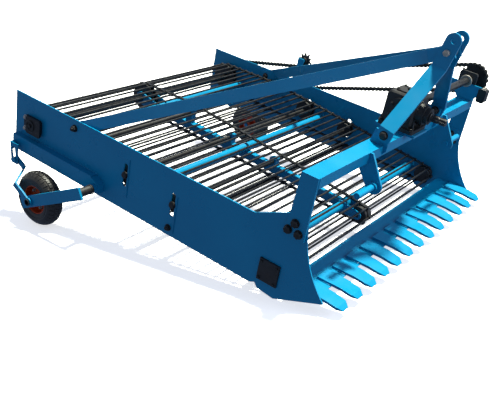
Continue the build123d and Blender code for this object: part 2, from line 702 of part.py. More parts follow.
# mast lugs, welded over the beam inside the feet
lug_outer = MAST_FOOT_Y - MAST_THICK / 2
with BuildPart() as lugs:
    for side, sign in SIDES:
        with BuildSketch(slab(sign, lug_outer - LUG, lug_outer)):
            with BuildLine():
                lug_front, lug_top = beam_front + LUG_LIP, BEAM_TOP + LUG_HEIGHT
                Polyline((beam_rear + LUG_REAR, BEAM_TOP), (beam_rear + 3 * LUG_REAR, lug_top),
                         (lug_front, lug_top), (lug_front, BEAM_TOP - LUG_DROP / 2),
                         (beam_front, BEAM_TOP - LUG_DROP), (beam_front, BEAM_TOP), close=True)
            make_face()
            with Locations(mast_point(MAST_FOOT_BOLT)):
                Circle(BOLT_HOLE / 2, mode=Mode.SUBTRACT)
        extrude(amount=LUG)
lugs.part.label = "mast_lugs"
export_step(lugs.part, "parts/mast_lugs.step")

# === braces: flat bars from the mast's top back to the side plates
brace_front = mast_point(MAST_BOLT)
brace_run = hypot(brace_front[0] - BRACE_REAR[0], brace_front[1] - BRACE_REAR[1])
brace_angle = degrees(atan2(brace_front[1] - BRACE_REAR[1], brace_front[0] - BRACE_REAR[0]))
brace_rear_y = inner_face - BRACE_THICK / 2
brace_front_y = MAST_TOP_Y - MAST_THICK / 2 - BRACE_THICK / 2
with BuildPart() as brace_left:
    with BuildSketch(turned_plane(*BRACE_REAR, brace_angle).offset(-BRACE_BAR / 2)):
        with BuildLine():
            Polyline(*bent_bar(((brace_rear_y, -BRACE_TAIL), (brace_rear_y, BRACE_REAR_FOOT),
                                (brace_front_y, brace_run - BRACE_FRONT_FOOT),
                                (brace_front_y, brace_run + BRACE_HEAD)), BRACE_THICK), close=True)
        make_face()
    extrude(amount=BRACE_BAR)
    with BuildSketch(side_plane(brace_rear_y + BRACE_THICK)):
        with Locations(BRACE_REAR):
            Circle(BOLT_HOLE / 2)
    extrude(amount=2 * BRACE_THICK, mode=Mode.SUBTRACT)
    with BuildSketch(side_plane(brace_front_y + BRACE_THICK)):
        with Locations(brace_front):
            Circle(BOLT_HOLE / 2)
    extrude(amount=2 * BRACE_THICK, mode=Mode.SUBTRACT)
with BuildPart() as brace_right:
    mirror(brace_left.part, about=Plane.XZ)
for side, bar in (("left", brace_left), ("right", brace_right)):
    bar.part.label = f"brace_{side}"
    export_step(bar.part, f"parts/brace_{side}.step")

# === gearbox: a cast body on a flanged foot, with the input forward and the output to the left
gear_u, gear_w = DRIVE_AXIS
base_top = BEAM_TOP + GEARBOX_BASE
foot_top = base_top + FOOT_THICK
body_u = gear_u - BODY_SET_BACK
body_top = gear_w + BODY_CROWN
with BuildPart() as gearbox_base:
    with BuildSketch(deck_plane(gear_u, BEAM_TOP)):
        Rectangle(BASE_LENGTH, BASE_WIDTH)
    extrude(amount=GEARBOX_BASE)
gearbox_base.part.label = "gearbox_base"
export_step(gearbox_base.part, "parts/gearbox_base.step")

with BuildPart() as gearbox:
    with BuildSketch(side_plane(BODY_WIDTH / 2)):
        with Locations((body_u, (foot_top + body_top) / 2)):
            RectangleRounded(BODY_LENGTH, body_top - foot_top, BODY_CORNER)
    extrude(amount=BODY_WIDTH)
    chamfer(gearbox.faces().filter_by(Axis.Y).edges(), BODY_CHAMFER)
    with BuildSketch(side_plane(BODY_WIDTH / 2)):
        with Locations((body_u, foot_top + BODY_CORNER)):
            Rectangle(BODY_LENGTH - 2 * BODY_CHAMFER, 2 * BODY_CORNER)
    extrude(amount=BODY_WIDTH)
    with BuildSketch(deck_plane(gear_u, base_top)):
        RectangleRounded(FOOT_LENGTH, FOOT_WIDTH, FOOT_CORNER)
    extrude(amount=FOOT_THICK)
    for y in (FIN_Y + FIN_THICK / 2, -FIN_Y + FIN_THICK / 2):
        with BuildSketch(side_plane(y)):
            with BuildLine():
                reach = BODY_LENGTH / 2
                spread, fin_top = reach + FIN_SPREAD, foot_top + FIN_HEIGHT
                Polyline((body_u - spread, foot_top), (body_u + spread, foot_top),
                         (body_u + reach - FIN_SINK, fin_top),
                         (body_u - reach + FIN_SINK, fin_top), close=True)
            make_face()
        extrude(amount=FIN_THICK)
    with BuildSketch(deck_plane(body_u, body_top)):
        RectangleRounded(LID, LID, FOOT_CORNER)
    extrude(amount=LID_THICK)
    with BuildSketch(deck_plane(body_u, body_top + LID_THICK)):
        RegularPolygon(PLUG, 6)
    extrude(amount=PLUG_HEIGHT)
    output_y = BODY_WIDTH / 2
    for radius, length in OUTPUT_RADII:
        output_y += length
        with BuildSketch(side_plane(output_y)):
            with Locations(DRIVE_AXIS):
                Circle(radius)
        extrude(amount=length)
    cover_y = -BODY_WIDTH / 2
    for radius, length in COVER_RADII:
        with BuildSketch(side_plane(cover_y)):
            with Locations(DRIVE_AXIS):
                Circle(radius)
        extrude(amount=length)
        cover_y -= length
    input_plane = Plane(origin=place(gear_u + INPUT_SET, gear_w), x_dir=(0, 1, 0), z_dir=(cosine, 0, -sine))
    input_end = 0.0
    for radius, length, draft in INPUT_RADII:
        with BuildSketch(input_plane.offset(input_end)):
            Circle(radius)
        extrude(amount=length, taper=draft)
        input_end += length
gearbox.part.label = "gearbox"
export_step(gearbox.part, "parts/gearbox.step")

with BuildPart() as pto_shaft:
    with BuildSketch(input_plane.offset(input_end)):
        Circle(PTO_DIA / 2)
    extrude(amount=PTO_TIP - gear_u - INPUT_SET - input_end)
    with BuildSketch(input_plane.offset(input_end)):
        Circle(PTO_COLLAR)
    extrude(amount=PTO_COLLAR_LENGTH)
pto_shaft.part.label = "pto_shaft"
export_step(pto_shaft.part, "parts/pto_shaft.step")

# cross shaft from the output to the chain wheel, with its coupling, bracket and flanged bearing
coupling_end = output_y + COUPLING_GAP + COUPLING_LENGTH
with BuildPart() as coupling:
    for radius, outer_y, length in (
        (COUPLING, coupling_end, COUPLING_LENGTH),
        (COUPLING_RING, coupling_end, COUPLING_RING_LENGTH),
        (COUPLING_RING, coupling_end - COUPLING_LENGTH + COUPLING_RING_LENGTH, COUPLING_RING_LENGTH),
    ):
        with BuildSketch(side_plane(outer_y)):
            with Locations(DRIVE_AXIS):
                Circle(radius)
                Circle(CROSS_SHAFT_DIA / 2, mode=Mode.SUBTRACT)
        extrude(amount=length)
coupling.part.label = "shaft_coupling"
export_step(coupling.part, "parts/shaft_coupling.step")

shaft_end = chain_y + SHAFT_OVERHANG
with BuildPart() as cross_shaft:
    with BuildSketch(side_plane(shaft_end)):
        with Locations(DRIVE_AXIS):
            Circle(CROSS_SHAFT_DIA / 2)
    extrude(amount=shaft_end - output_y)
cross_shaft.part.label = "cross_shaft"
export_step(cross_shaft.part, "parts/cross_shaft.step")

with BuildPart() as drive_bracket:
    with BuildSketch(side_plane(bracket_y + BRACKET)):
        with BuildLine():
            Polyline((beam_rear, BEAM_TOP), (beam_front, BEAM_TOP),
                     (beam_front + BRACKET_SPREAD, gear_w - BRACKET),
                     (gear_u + BRACKET_NECK, gear_w + BRACKET_CROWN),
                     (gear_u - BRACKET_NECK, gear_w + BRACKET_CROWN),
                     (beam_rear - BRACKET_SPREAD, gear_w - BRACKET), close=True)
        make_face()
        with Locations(DRIVE_AXIS):
            Circle(CROSS_SHAFT_DIA / 2 + BRACKET_HOLE_GAP, mode=Mode.SUBTRACT)
    extrude(amount=BRACKET)
drive_bracket.part.label = "drive_bracket"
export_step(drive_bracket.part, "parts/drive_bracket.step")

with BuildPart() as drive_bearing:
    bearing_root = bracket_y + BRACKET
    with BuildSketch(side_plane(bearing_root + BEARING_FLANGE_THICK)):
        with Locations(DRIVE_AXIS):
            RectangleRounded(BEARING_FLANGE, BEARING_FLANGE, FLANGE_CORNER)
            Circle(CROSS_SHAFT_DIA / 2, mode=Mode.SUBTRACT)
    extrude(amount=BEARING_FLANGE_THICK)
    for radius, outer in ((BEARING_BARREL, BEARING_THICK),
                          (BEARING_COLLAR, BEARING_THICK + BEARING_COLLAR_LENGTH)):
        with BuildSketch(side_plane(bearing_root + outer)):
            with Locations(DRIVE_AXIS):
                Circle(radius)
                Circle(CROSS_SHAFT_DIA / 2, mode=Mode.SUBTRACT)
        extrude(amount=outer)
drive_bearing.part.label = "drive_bearing"
export_step(drive_bearing.part, "parts/drive_bearing.step")

# === chain wheels, outside the left side plate
for name, centre, teeth, bore, hub in (
    ("front_sprocket", DRIVE_AXIS, FRONT_TEETH, CROSS_SHAFT_DIA, FRONT_HUB),
    ("rear_sprocket", rear_shaft_place, REAR_TEETH, REAR_SHAFT_DIA, REAR_HUB),
    ("idler_sprocket", IDLER, IDLER_TEETH, IDLER_BORE, IDLER_HUB),
):
    with BuildPart() as sprocket:
        with BuildSketch(side_plane(chain_y + SPROCKET_THICK / 2)):
            with BuildLine():
                Polyline(*sprocket_outline(centre, teeth), close=True)
            make_face()
            with Locations(centre):
                Circle(bore / 2, mode=Mode.SUBTRACT)
        extrude(amount=SPROCKET_THICK)
        with BuildSketch(side_plane(chain_y - SPROCKET_THICK / 2)):
            with Locations(centre):
                Circle(hub / 2)
                Circle(bore / 2, mode=Mode.SUBTRACT)
        extrude(amount=HUB_LENGTH)
    sprocket.part.label = name
    export_step(sprocket.part, f"parts/{name}.step")

# === drive chain: inner links with two rollers each, and outer links with the pins through them
inner_out = CHAIN_INSIDE + CHAIN_PLATE
outer_in = inner_out + CHAIN_PLAY
outer_out = outer_in + CHAIN_PLATE
pin_hole = CHAIN_PIN_DIA / 2 + CHAIN_PLAY
chain_links = []
for i, (u, w) in enumerate(pin_places):
    u2, w2 = pin_places[(i + 1) % link_count]
    chain_links.append(((u, w), (u2, w2), degrees(atan2(w2 - w, u2 - u))))
with BuildPart() as drive_chain:
    for links, near, far, barrel in ((chain_links[0::2], CHAIN_INSIDE, inner_out, ROLLER_DIA / 2),
                                     (chain_links[1::2], outer_in, outer_out, CHAIN_PIN_DIA / 2)):
        for face_y in (chain_y + far, chain_y - near):
            with BuildSketch(side_plane(face_y)):
                for start, end, turn in links:
                    middle = ((start[0] + end[0]) / 2, (start[1] + end[1]) / 2, 0)
                    with Locations(Location(middle, (0, 0, turn))):
                        SlotCenterToCenter(chain_step, CHAIN_DEPTH)
            extrude(amount=far - near)
        with BuildSketch(side_plane(chain_y + near)):
            with Locations(*[pin for start, end, turn in links for pin in (start, end)]):
                Circle(barrel)
        extrude(amount=2 * near)
        if barrel > pin_hole:
            with BuildSketch(side_plane(chain_y + far)):
                with Locations(*pin_places):
                    Circle(pin_hole)
            extrude(amount=2 * far, mode=Mode.SUBTRACT)
drive_chain.part.label = "drive_chain"
export_step(drive_chain.part, "parts/drive_chain.step")

# idler bracket: a strap with two legs on the left side plate, and the idler's stub
with BuildPart() as idler_arm:
    with BuildSketch(side_plane(half + IDLER_STRAP)):
        with BuildLine():
            foot_rear, foot_front = IDLER[0] + IDLER_FEET[0], IDLER[0] + IDLER_FEET[1]
            fork_w, head_top = IDLER[1] - 2 * IDLER_HEAD, IDLER[1] + IDLER_HEAD
            head_rear, head_front = IDLER[0] - IDLER_HEAD, IDLER[0] + IDLER_HEAD
            Polyline((foot_rear, IDLER_FOOT_W), (head_rear, fork_w), (head_rear, head_top),
                     (head_front, head_top), (head_front, fork_w), (foot_front, IDLER_FOOT_W),
                     (foot_front - IDLER_LEG, IDLER_FOOT_W), (head_front - IDLER_LEG, fork_w),
                     (head_rear + IDLER_LEG, fork_w), (foot_rear + IDLER_LEG, IDLER_FOOT_W), close=True)
        make_face()
    extrude(amount=IDLER_STRAP)
    stub_end = chain_y + SPROCKET_THICK / 2 + IDLER_STUB
    with BuildSketch(side_plane(stub_end)):
        with Locations(IDLER):
            Circle(IDLER_BORE / 2)
    extrude(amount=stub_end - half - IDLER_STRAP)
idler_arm.part.label = "idler_arm"
export_step(idler_arm.part, "parts/idler_arm.step")

# === digging web: one fixed loop of rods, joined in three lanes by links with an eye and a hook
with BuildPart() as web_rods:
    with BuildSketch(side_plane(rod_end)):
        with Locations(*rod_places):
            Circle(ROD_DIA / 2)
    extrude(amount=2 * rod_end)
web_rods.part.label = "web_rods"
export_step(web_rods.part, "parts/web_rods.step")

# each link: a shank as wide as the lane, an eye on its left half round one rod and a hook on its right
# half over the next, so that hooks and eyes lie side by side on each rod
half_link = WEB_PITCH / 2
hook_radius = ROD_DIA / 2 + HOOK_WALL
link_places = []
for i, (u, w) in enumerate(rod_places):
    u2, w2 = rod_places[(i + 1) % rod_count]
    link_places.append(Location(((u + u2) / 2, (w + w2) / 2, 0), (0, 0, degrees(atan2(w2 - w, u2 - u)))))
for name, lane in zip(("right", "middle", "left"), lanes):
    with BuildPart() as links:
        with BuildSketch(side_plane(lane + LINK_WIDTH / 2)):
            with Locations(*link_places):
                Rectangle(WEB_PITCH - 2 * HOOK_BACK, LINK_HEIGHT)
        extrude(amount=LINK_WIDTH)
        for end, outer_y in ((-1, lane + LINK_WIDTH / 2), (1, lane - HOOK_GAP)):
            with BuildSketch(side_plane(outer_y)):
                with Locations(*link_places):
                    with Locations((end * half_link, 0)):
                        Circle(hook_radius)
                    with Locations((end * (half_link - HOOK_BACK / 2), 0)):
                        Rectangle(HOOK_BACK, LINK_HEIGHT)
                    with Locations((end * half_link, 0)):
                        Circle(ROD_DIA / 2 + ROD_SEAT, mode=Mode.SUBTRACT)
                    if end > 0:
                        with Locations(Location((half_link, 0, 0), (0, 0, MOUTH_TURN))):
                            with Locations((hook_radius / 2, 0)):
                                Rectangle(hook_radius, HOOK_MOUTH, mode=Mode.SUBTRACT)
            extrude(amount=LINK_WIDTH / 2 - HOOK_GAP)
    links.part.label = f"web_links_{name}"
    export_step(links.part, f"parts/web_links_{name}.step")

# === rear drive shaft with the web's drive wheels, and its bearings
first_rod = degrees(web_loop[0][3])
with BuildPart() as rear_shaft:
    with BuildSketch(side_plane(shaft_end)):
        with Locations(rear_shaft_place):
            Circle(REAR_SHAFT_DIA / 2)
    extrude(amount=shaft_end + half + TAKE_UP_THICK + TAKE_UP_BARREL_LENGTH)
    for lane in lanes:
        for y in (lane + ROLLER_GROOVE / 2 + WEB_WHEEL, lane - ROLLER_GROOVE / 2):
            with BuildSketch(side_plane(y)):
                with Locations(rear_shaft_place):
                    Circle(web_radius - WHEEL_UNDERCUT)
                    with PolarLocations(web_radius, WEB_TEETH, start_angle=first_rod):
                        Circle(ROD_DIA / 2 + ROD_SEAT, mode=Mode.SUBTRACT)
            extrude(amount=WEB_WHEEL)
        with BuildSketch(side_plane(lane + ROLLER_GROOVE / 2)):
            with Locations(rear_shaft_place):
                Circle(WEB_HUB)
        extrude(amount=ROLLER_GROOVE)
rear_shaft.part.label = "rear_shaft"
export_step(rear_shaft.part, "parts/rear_shaft.step")

with BuildPart() as rear_bearings:
    for side, sign in SIDES:
        with BuildSketch(slab(sign, half, half + TAKE_UP_THICK)):
            with Locations(rear_shaft_place):
                RectangleRounded(*TAKE_UP_PLATE, FLANGE_CORNER)
                Circle(REAR_SHAFT_DIA / 2, mode=Mode.SUBTRACT)
        extrude(amount=TAKE_UP_THICK)
        barrel_end = half + TAKE_UP_THICK + TAKE_UP_BARREL_LENGTH
        with BuildSketch(slab(sign, half, barrel_end)):
            with Locations(rear_shaft_place):
                Circle(TAKE_UP_BARREL)
                Circle(REAR_SHAFT_DIA / 2, mode=Mode.SUBTRACT)
        extrude(amount=barrel_end - half)
rear_bearings.part.label = "rear_bearings"
export_step(rear_bearings.part, "parts/rear_bearings.step")


# === front rollers: one in each side plate and one in the fork of the centre beam
def roller_rings(lane, diameter, width):
    """The rings (high y, thickness, radius) of a roller with a groove round its middle."""
    rim = (width - ROLLER_GROOVE) / 2
    return ((lane + width / 2, rim, diameter / 2), (lane - ROLLER_GROOVE / 2, rim, diameter / 2),
            (lane + width / 2, width, diameter / 2 - GROOVE_DEPTH))


fork_outer = FORK_GAP / 2 + FORK
front_pins = ((-half, lanes[0]), (-fork_outer, fork_outer), (lanes[2], half))
with BuildPart() as front_rollers:
    for lane, (pin_low, pin_high) in zip(lanes, front_pins):
        for high_y, thickness, radius in roller_rings(lane, FRONT_ROLLER_DIA, FRONT_ROLLER_WIDTH):
            with BuildSketch(side_plane(high_y)):
                with Locations(FRONT_ROLLER):
                    Circle(radius)
            extrude(amount=thickness)
        with BuildSketch(side_plane(pin_high)):
            with Locations(FRONT_ROLLER):
                Circle(FRONT_PIN_DIA / 2)
        extrude(amount=pin_high - pin_low)
front_rollers.part.label = "front_rollers"
export_step(front_rollers.part, "parts/front_rollers.step")

with BuildPart() as covers:
    for side, sign in SIDES:
        with BuildSketch(slab(sign, half, half + COVER_THICK)):
            with Locations(FRONT_ROLLER):
                Rectangle(*COVER)
        extrude(amount=COVER_THICK)
    outer_faces = covers.faces().filter_by(Axis.Y).sort_by(Axis.Y)
    chamfer(outer_faces[0].edges() + outer_faces[-1].edges(), COVER_CHAMFER)
covers.part.label = "front_covers"
export_step(covers.part, "parts/front_covers.step")

with BuildPart() as fork:
    for y in (fork_outer, -FORK_GAP / 2):
        with BuildSketch(side_plane(y)):
            with Locations(FRONT_TUBE):
                Circle(TUBE_DIA / 2 + TUBE_CLASP)
            with Locations(FRONT_ROLLER):
                Circle(FRONT_PIN_DIA / 2 + PIN_CLASP)
            make_hull()
            with Locations(FRONT_TUBE):
                Circle(TUBE_DIA / 2, mode=Mode.SUBTRACT)
            with Locations(FRONT_ROLLER):
                Circle(FRONT_PIN_DIA / 2, mode=Mode.SUBTRACT)
        extrude(amount=FORK)
fork.part.label = "front_fork"
export_step(fork.part, "parts/front_fork.step")

# === carrier shafts with their rollers, across the frame
for name, u, w, roller, touches, hole in CARRIERS:
    reach = {"none": inner_face, "slot": half + CARRIER_END, "round": half}[hole]
    with BuildPart() as carrier:
        with BuildSketch(side_plane(reach)):
            with Locations((u, w)):
                Circle(CARRIER_SHAFT_DIA / 2)
        extrude(amount=2 * reach)
        for lane in (lanes[0], lanes[2]):
            for high_y, thickness, radius in roller_rings(lane, roller, CARRIER_ROLLER_WIDTH):
                with BuildSketch(side_plane(high_y)):
                    with Locations((u, w)):
                        Circle(radius)
                extrude(amount=thickness)
    carrier.part.label = name
    export_step(carrier.part, f"parts/{name}.step")

# === cross tubes between the side plates
with BuildPart() as cross_tubes:
    for tube in cross_tube_places:
        with BuildSketch(side_plane(inner_face)):
            with Locations(tube):
                Circle(TUBE_DIA / 2)
                Circle(TUBE_DIA / 2 - TUBE_WALL, mode=Mode.SUBTRACT)
        extrude(amount=2 * inner_face)
cross_tubes.part.label = "cross_tubes"
export_step(cross_tubes.part, "parts/cross_tubes.step")

# === centre beam: coped over the middle tube, between the rear and front tubes, with a post under each
# of the upper carrier shafts
inner_shafts = [(u, w) for name, u, w, roller, touches, hole in CARRIERS if touches == "inside"]
with BuildPart() as centre_beam:
    with BuildSketch(side_plane(CENTRE_BEAM / 2)):
        with BuildLine():
            Polyline(*bent_bar(((rear_tube[0], CENTRE_BEAM_REAR_W), (FRONT_TUBE[0], CENTRE_BEAM_FRONT_W)),
                               CENTRE_BEAM), close=True)
        make_face()
        for u, w in inner_shafts:
            with Locations((u, w + SADDLE_RISE - SADDLE_DEPTH / 2)):
                Rectangle(CENTRE_BEAM, SADDLE_DEPTH)
        with Locations(*cross_tube_places):
            Circle(TUBE_DIA / 2, mode=Mode.SUBTRACT)
        with Locations(*inner_shafts):
            Circle(CARRIER_SHAFT_DIA / 2, mode=Mode.SUBTRACT)
    extrude(amount=CENTRE_BEAM)
centre_beam.part.label = "centre_beam"
export_step(centre_beam.part, "parts/centre_beam.step")

# hanger: two plates from the rear tube to the middle of the rear shaft
with BuildPart() as hanger:
    for y in (fork_outer, -FORK_GAP / 2):
        with BuildSketch(side_plane(y)):
            with Locations(rear_tube):
                Circle(TUBE_DIA / 2 + TUBE_CLASP)
            with Locations(rear_shaft_place):
                Circle(REAR_SHAFT_DIA / 2 + SHAFT_CLASP)
            make_hull()
            with Locations(rear_tube):
                Circle(TUBE_DIA / 2, mode=Mode.SUBTRACT)
            with Locations(rear_shaft_place):
                Circle(REAR_SHAFT_DIA / 2, mode=Mode.SUBTRACT)
        extrude(amount=FORK)
hanger.part.label = "shaft_hanger"
export_step(hanger.part, "parts/shaft_hanger.step")

# === depth wheels
axle = (WHEEL_U, (TYRE_DIA / 2 - rear_top_z + WHEEL_U * sine) / cosine)
arm_outer = arm_inner + ARM_THICK
strut_inner = arm_outer + STRUT_PLAY
strut_outer = strut_inner + STRUT_THICK
rail_u = (RAIL_REAR + RAIL_FRONT) / 2
rail_w = RAIL_TOP - RAIL_DEPTH / 2
boss_out = rail_outer + PIVOT_BOSS_OUT
arm_angle = atan2(axle[1] - ARM_PIVOT[1], axle[0] - ARM_PIVOT[0])
arm_ends = ((ARM_PIVOT[0] - ARM_HEAD * cos(arm_angle), ARM_PIVOT[1] - ARM_HEAD * sin(arm_angle)),
            (axle[0] + ARM_TAIL * cos(arm_angle), axle[1] + ARM_TAIL * sin(arm_angle)))
slot_middle = (STRUT_TOP[0] - STRUT_TRAVEL / 2 * sine, STRUT_TOP[1] + STRUT_TRAVEL / 2 * cosine)
bracket_outer = rail_outer + BRACKET_OUT
bracket_inner = bracket_outer - BRACKET_PLATE

for side, sign in SIDES:
    with BuildPart() as rail:
        with BuildSketch(slab(sign, half, rail_outer)):
            with Locations((rail_u, rail_w)):
                Rectangle(RAIL_FRONT - RAIL_REAR, RAIL_DEPTH)
        extrude(amount=RAIL_WIDTH)
        with BuildSketch(slab(sign, half + RAIL_WALL, rail_outer - RAIL_WALL)):
            with Locations((rail_u, rail_w)):
                Rectangle(RAIL_FRONT - RAIL_REAR, RAIL_DEPTH - 2 * RAIL_WALL)
        extrude(amount=RAIL_WIDTH - 2 * RAIL_WALL, mode=Mode.SUBTRACT)
    rail.part.label = f"wheel_rail_{side}"
    export_step(rail.part, f"parts/wheel_rail_{side}.step")

    # pivot bracket: a block with a bush at the rail's front end
    with BuildPart() as pivot:
        with BuildSketch(slab(sign, half, rail_outer)):
            with BuildLine():
                pivot_front = ARM_PIVOT[0] + PIVOT_REACH
                Polyline((RAIL_FRONT, RAIL_TOP - RAIL_WALL), (pivot_front, ARM_PIVOT[1] + PIVOT_REACH),
                         (pivot_front, ARM_PIVOT[1] - PIVOT_REACH),
                         (RAIL_FRONT, RAIL_TOP - RAIL_DEPTH), close=True)
            make_face()
        extrude(amount=RAIL_WIDTH)
        with BuildSketch(slab(sign, half, boss_out)):
            with Locations(ARM_PIVOT):
                Circle(PIVOT_BOSS)
        extrude(amount=boss_out - half)
        with BuildSketch(slab(sign, half, boss_out)):
            with Locations(ARM_PIVOT):
                Circle(PIVOT_DIA / 2 + RUNNING)
        extrude(amount=boss_out - half, mode=Mode.SUBTRACT)
    pivot.part.label = f"wheel_pivot_{side}"
    export_step(pivot.part, f"parts/wheel_pivot_{side}.step")

    # arm: a flat bar outside the tyre, with its pivot pin and the wheel's axle
    with BuildPart() as arm:
        with BuildSketch(slab(sign, arm_inner, arm_outer)):
            with BuildLine():
                Polyline(*bent_bar(arm_ends, ARM_BAR), close=True)
            make_face()
        extrude(amount=ARM_THICK)
        pin_root, boss_root = half + PIVOT_PIN_SET, boss_out + PIVOT_PLAY
        axle_root, axle_end = wheel_y - AXLE_TAIL, strut_outer + AXLE_HEAD
        for centre, radius, inner, outer in (
            (ARM_PIVOT, ARM_BOSS, boss_root, arm_inner),
            (ARM_PIVOT, PIVOT_DIA / 2, pin_root, boss_root),
            (axle, AXLE_DIA / 2, axle_root, arm_inner),
            (axle, AXLE_DIA / 2, arm_outer, axle_end),
        ):
            with BuildSketch(slab(sign, inner, outer)):
                with Locations(centre):
                    Circle(radius)
            extrude(amount=outer - inner)
    arm.part.label = f"wheel_arm_{side}"
    export_step(arm.part, f"parts/wheel_arm_{side}.step")

    # setting bracket at the rail's rear end: open to the front, with a slot for the strut's pin
    with BuildPart() as bracket:
        with BuildSketch(slab(sign, bracket_inner, bracket_outer)):
            with BuildLine():
                low_w = STRUT_TOP[1] - BRACKET_LOW
                Polyline((BRACKET_REAR, BRACKET_TOP_W), (BRACKET_FRONT, BRACKET_TOP_W),
                         (BRACKET_FRONT, low_w), (STRUT_TOP[0] - SLOT_WIDTH, low_w), close=True)
            make_face()
            with Locations(Location((*slot_middle, 0), (0, 0, 90 + PITCH))):
                SlotOverall(STRUT_TRAVEL + SLOT_PLAY, SLOT_WIDTH, mode=Mode.SUBTRACT)
        extrude(amount=BRACKET_PLATE)
        with BuildSketch(slab(sign, rail_outer, bracket_inner)):
            with Locations((BRACKET_REAR, BRACKET_TOP_W)):
                Rectangle(BRACKET_PLATE, BRACKET_TOP_W - RAIL_TOP + RAIL_DEPTH, align=(Align.MIN, Align.MAX))
        extrude(amount=bracket_inner - rail_outer)
    bracket.part.label = f"strut_bracket_{side}"
    export_step(bracket.part, f"parts/strut_bracket_{side}.step")

# strut: a bent flat bar from the setting slot out and down to the end of the axle
strut_run = hypot(axle[0] - STRUT_TOP[0], axle[1] - STRUT_TOP[1])
strut_angle = degrees(atan2(axle[1] - STRUT_TOP[1], axle[0] - STRUT_TOP[0]))
strut_top_y = rail_outer + STRUT_STAND_OFF
strut_low_y = strut_inner + STRUT_THICK / 2
head_start = bracket_outer + SETTING_HEAD_GAP
with BuildPart() as strut_left:
    with BuildSketch(turned_plane(*STRUT_TOP, strut_angle).offset(-STRUT_BAR / 2)):
        with BuildLine():
            Polyline(*bent_bar(((strut_top_y, -STRUT_ENDS[0]), (strut_top_y, STRUT_BENDS[0]),
                                (strut_low_y, STRUT_BENDS[1]), (strut_low_y, strut_run + STRUT_ENDS[1])),
                               STRUT_THICK), close=True)
        make_face()
    extrude(amount=STRUT_BAR)
    with BuildSketch(slab(1, strut_inner, strut_outer)):
        with Locations(axle):
            Circle(STRUT_EYE)
    extrude(amount=STRUT_THICK)
    with BuildSketch(slab(1, strut_inner, strut_outer)):
        with Locations(axle):
            Circle(AXLE_DIA / 2 + RUNNING)
    extrude(amount=STRUT_THICK, mode=Mode.SUBTRACT)
    for radius, inner, outer in ((SETTING_PIN_DIA / 2, strut_top_y, head_start),
                                 (SETTING_HEAD, head_start, head_start + SETTING_HEAD_THICK)):
        with BuildSketch(slab(1, inner, outer)):
            with Locations(STRUT_TOP):
                Circle(radius)
        extrude(amount=outer - inner)
with BuildPart() as strut_right:
    mirror(strut_left.part, about=Plane.XZ)
for side, strut in (("left", strut_left), ("right", strut_right)):
    strut.part.label = f"wheel_strut_{side}"
    export_step(strut.part, f"parts/wheel_strut_{side}.step")

# === tyre, rim and hub: turned about the axle
bead = RIM_DIA / 2
tread = TYRE_DIA / 2
tyre_side = TYRE_WIDTH / 2
for side, sign in SIDES:
    wheel_centre = place(*axle, sign * wheel_y)
    wheel_plane = Plane(origin=wheel_centre, x_dir=(1, 0, 0), z_dir=(0, 0, 1))
    spin = Axis(wheel_centre, (0, 1, 0))
    with BuildPart() as tyre:
        with BuildSketch(wheel_plane):
            with BuildLine():
                shoulder, crown = tread - TYRE_SHOULDER, (tread - TYRE_CROWN[0], tyre_side - TYRE_CROWN[1])
                Polyline((bead, BEAD_SEAT), (bead + RIM_FLANGE, BEAD_SEAT),
                         (bead + BEAD_BULGE, tyre_side - BEAD_SET), (shoulder, tyre_side))
                ThreePointArc((shoulder, tyre_side), crown, (tread, 0))
                ThreePointArc((tread, 0), (crown[0], -crown[1]), (shoulder, -tyre_side))
                Polyline((shoulder, -tyre_side), (bead + BEAD_BULGE, BEAD_SET - tyre_side),
                         (bead + RIM_FLANGE, -BEAD_SEAT), (bead, -BEAD_SEAT), (bead, BEAD_SEAT))
            make_face()
        revolve(axis=spin)
    tyre.part.label = f"tyre_{side}"
    export_step(tyre.part, f"parts/tyre_{side}.step")

    with BuildPart() as rim:
        with BuildSketch(wheel_plane):
            with BuildLine():
                edge, bore = BEAD_SEAT + RIM_EDGE, AXLE_DIA / 2 + RUNNING
                Polyline((bead + RIM_FLANGE, -edge), (bead + RIM_FLANGE, -BEAD_SEAT), (bead, -BEAD_SEAT),
                         (bead, BEAD_SEAT), (bead + RIM_FLANGE, BEAD_SEAT), (bead + RIM_FLANGE, edge),
                         (bead - RIM_LIP, edge), (bead - RIM_LIP, RIM_DISH[1]), (WHEEL_HUB, RIM_DISH[0]),
                         (WHEEL_HUB, HUB_HALF), (bore, HUB_HALF), (bore, -HUB_HALF), (WHEEL_HUB, -HUB_HALF),
                         (WHEEL_HUB, RIM_DISH[0] - DISC_THICK), (bead - RIM_LIP, RIM_DISH[1] - DISC_THICK),
                         (bead - RIM_LIP, -edge), close=True)
            make_face()
        revolve(axis=spin)
        with BuildSketch(slab(sign, wheel_y - HUB_HALF, wheel_y + HUB_HALF)):
            with Locations(axle):
                with PolarLocations((WHEEL_HUB + bead - RIM_LIP) / 2, DISC_HOLES):
                    Circle(DISC_HOLE)
        extrude(amount=2 * HUB_HALF, mode=Mode.SUBTRACT)
    rim.part.label = f"rim_{side}"
    export_step(rim.part, f"parts/rim_{side}.step")
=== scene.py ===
import bpy
import bmesh
import json
import random
from math import atan2, cos, hypot, pi, radians, sin
from mathutils import Euler, Matrix, Vector


